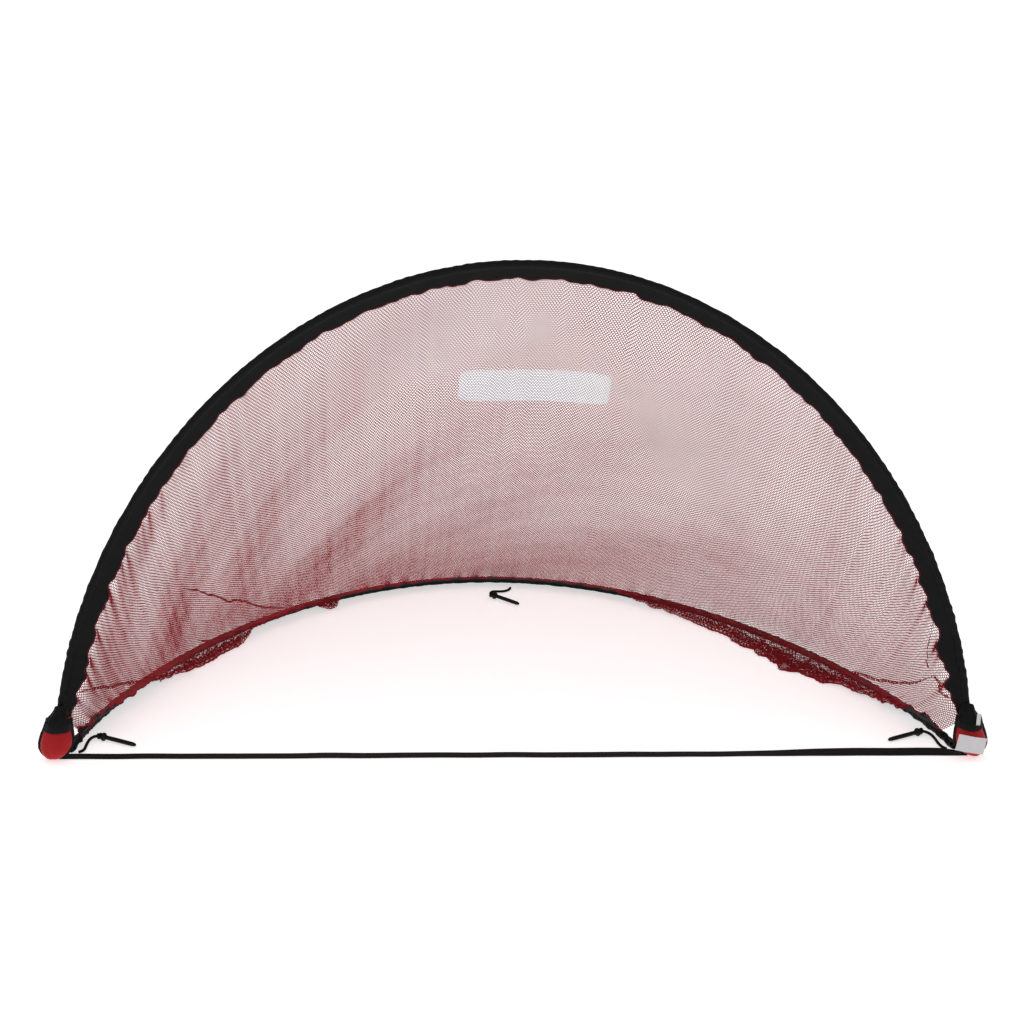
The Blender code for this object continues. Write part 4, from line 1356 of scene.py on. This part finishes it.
def build_tether(word, materials):
    """A tether that lies on the ground from its sleeve to its peg, with a knot at the peg."""
    route = smooth_path(TETHER_POINTS[word], 2)
    curve = bpy.data.curves.new(f"tether_cord_{word}", "CURVE")
    curve.dimensions = "3D"
    curve.bevel_depth = TETHER_RADIUS
    curve.bevel_resolution = 5
    curve.resolution_u = 4
    curve.use_fill_caps = True
    spline = curve.splines.new("POLY")
    fine = smooth_path(route, 3)
    spline.points.add(len(fine) - 1)
    for target, point in zip(spline.points, fine):
        target.co = (*point, 1.0)
    curve.materials.append(materials["tether"])
    cord = link(bpy.data.objects.new(f"tether_cord_{word}", curve))
    end, tip = Vector(TETHER_POINTS[word][-1]), Vector(PEG_TIPS[word])
    along = (tip - end).normalized()
    bend = along.angle(end - Vector(TETHER_POINTS[word][-2]))
    head = end + along * (CONTACT_GAP + TETHER_RADIUS * math.sin(bend))
    peg = build_peg(word, head, along, materials)
    knot = build_knot(word, end, along, materials)
    for item in (cord, peg, knot):
        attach(item, "base")
    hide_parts(f"tether_{word}")
    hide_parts(f"ground_peg_{word}")


def build_peg(word, head, along, materials):
    """A moulded peg: a rounded head with a groove, a plain shaft and a blunt tip."""
    outline = [(0.0040, 0.0), (0.0064, 0.0006), (0.0080, 0.0022), (PEG_HEAD_RADIUS, 0.0042)]
    outline += [(PEG_HEAD_RADIUS, 0.0052), (0.0078, 0.0070), (0.0058, 0.0084), (PEG_RADIUS, PEG_HEAD_LENGTH)]
    outline += [(PEG_RADIUS, 0.0140), (PEG_NECK_RADIUS, 0.0148), (PEG_NECK_RADIUS, 0.0162)]
    outline += [(PEG_RADIUS, 0.0170)]
    outline += [(PEG_RADIUS, 0.0400), (0.0044, 0.0600), (0.0042, PEG_LENGTH - 0.008)]
    outline += [(0.0036, PEG_LENGTH - 0.004), (0.0022, PEG_LENGTH - 0.001), (0.0008, PEG_LENGTH)]
    item = turned_object(f"peg_{word}", outline, materials["plastic"])
    item.data.transform(Matrix.Translation(head) @ along.to_track_quat("Z", "Y").to_matrix().to_4x4())
    return item


def build_knot(word, place, along, materials):
    """A pulled-tight overhand knot of the tether, against the peg's head."""
    thickness = TETHER_RADIUS * 0.82
    angles = np.linspace(0, 2 * math.pi, 73)[:-1]
    x = np.sin(angles) + 2 * np.sin(2 * angles)
    y = np.cos(angles) - 2 * np.cos(2 * angles)
    z = -np.sin(3 * angles)
    local = np.stack([x, y, z * 1.25], -1) * KNOT_SIZE / 2.2
    turn = Vector(along).to_track_quat("Z", "Y").to_matrix()
    path = local @ np.array(turn.transposed()) + np.array(place) - np.array(along) * KNOT_BACK
    path[:, 2] = np.maximum(path[:, 2], thickness + 0.0004)
    return closed_tube(f"tether_knot_{word}", path, thickness, materials["cord"])


def closed_tube(name, path, radius, material):
    """A round tube along a closed path."""
    sides = 12
    tangent = unit(np.roll(path, -1, 0) - np.roll(path, 1, 0))
    normal = np.empty_like(path)
    normal[0] = unit(np.cross(tangent[0], [0.3, 0.2, 1.0]))
    for i in range(1, len(path)):
        step = normal[i - 1] - tangent[i] * (normal[i - 1] @ tangent[i])
        normal[i] = unit(step)
    other = np.cross(tangent, normal)
    turn = 2 * math.pi * np.arange(sides) / sides
    rings = normal[:, None] * np.cos(turn)[None, :, None] + other[:, None] * np.sin(turn)[None, :, None]
    points = path[:, None] + rings * radius
    faces = grid_faces(len(path), sides, closed=True)
    first = np.arange(sides)
    last = (len(path) - 1) * sides + first
    # The two open rings meet, turned by the twist that built up along the path.
    gap = np.linalg.norm(points[-1][:, None] - points[0][None], axis=-1)
    shift = int(np.argmin([np.trace(np.roll(gap, -k, axis=1)) for k in range(sides)]))
    partner = (first + shift) % sides
    following = np.roll(last, -1)
    seam = np.stack([last, following, np.roll(partner, -1), partner], -1)
    along = np.arange(len(path))[:, None] * 0.001
    cloth = np.stack(np.broadcast_arrays(along, turn[None] * radius), -1).reshape(-1, 2)
    return mesh_object(name, points.reshape(-1, 3), np.concatenate([faces, seam]), material, cloth)


# ---------------------------------------------------------------- the whole goal


def finish_cad_nodes(materials):
    """Give the rods, ferrules and caps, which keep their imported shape, their finish."""
    looks = {"rod_cap": "plastic", "rod": "rod", "ferrule": "steel"}
    for name, item in frame["nodes"].items():
        look = next((look for part, look in looks.items() if part in name), None)
        if look:
            item.data.materials.clear()
            item.data.materials.append(materials[look])


def main():
    make_camera()
    materials = make_materials()
    for word in TETHER_POINTS:
        build_tether(word, materials)
    make_studio()
    build_sleeve("arch", ARCH, ARCH_GATHERS, materials)
    build_sleeve("base", BASE, BASE_GATHERS, materials)
    build_net(materials)
    for side, word in ((-1, "left"), (1, "right")):
        build_pouch(side, word, materials)
    build_floor_strap(materials)
    build_labels(materials)
    finish_cad_nodes(materials)


main()
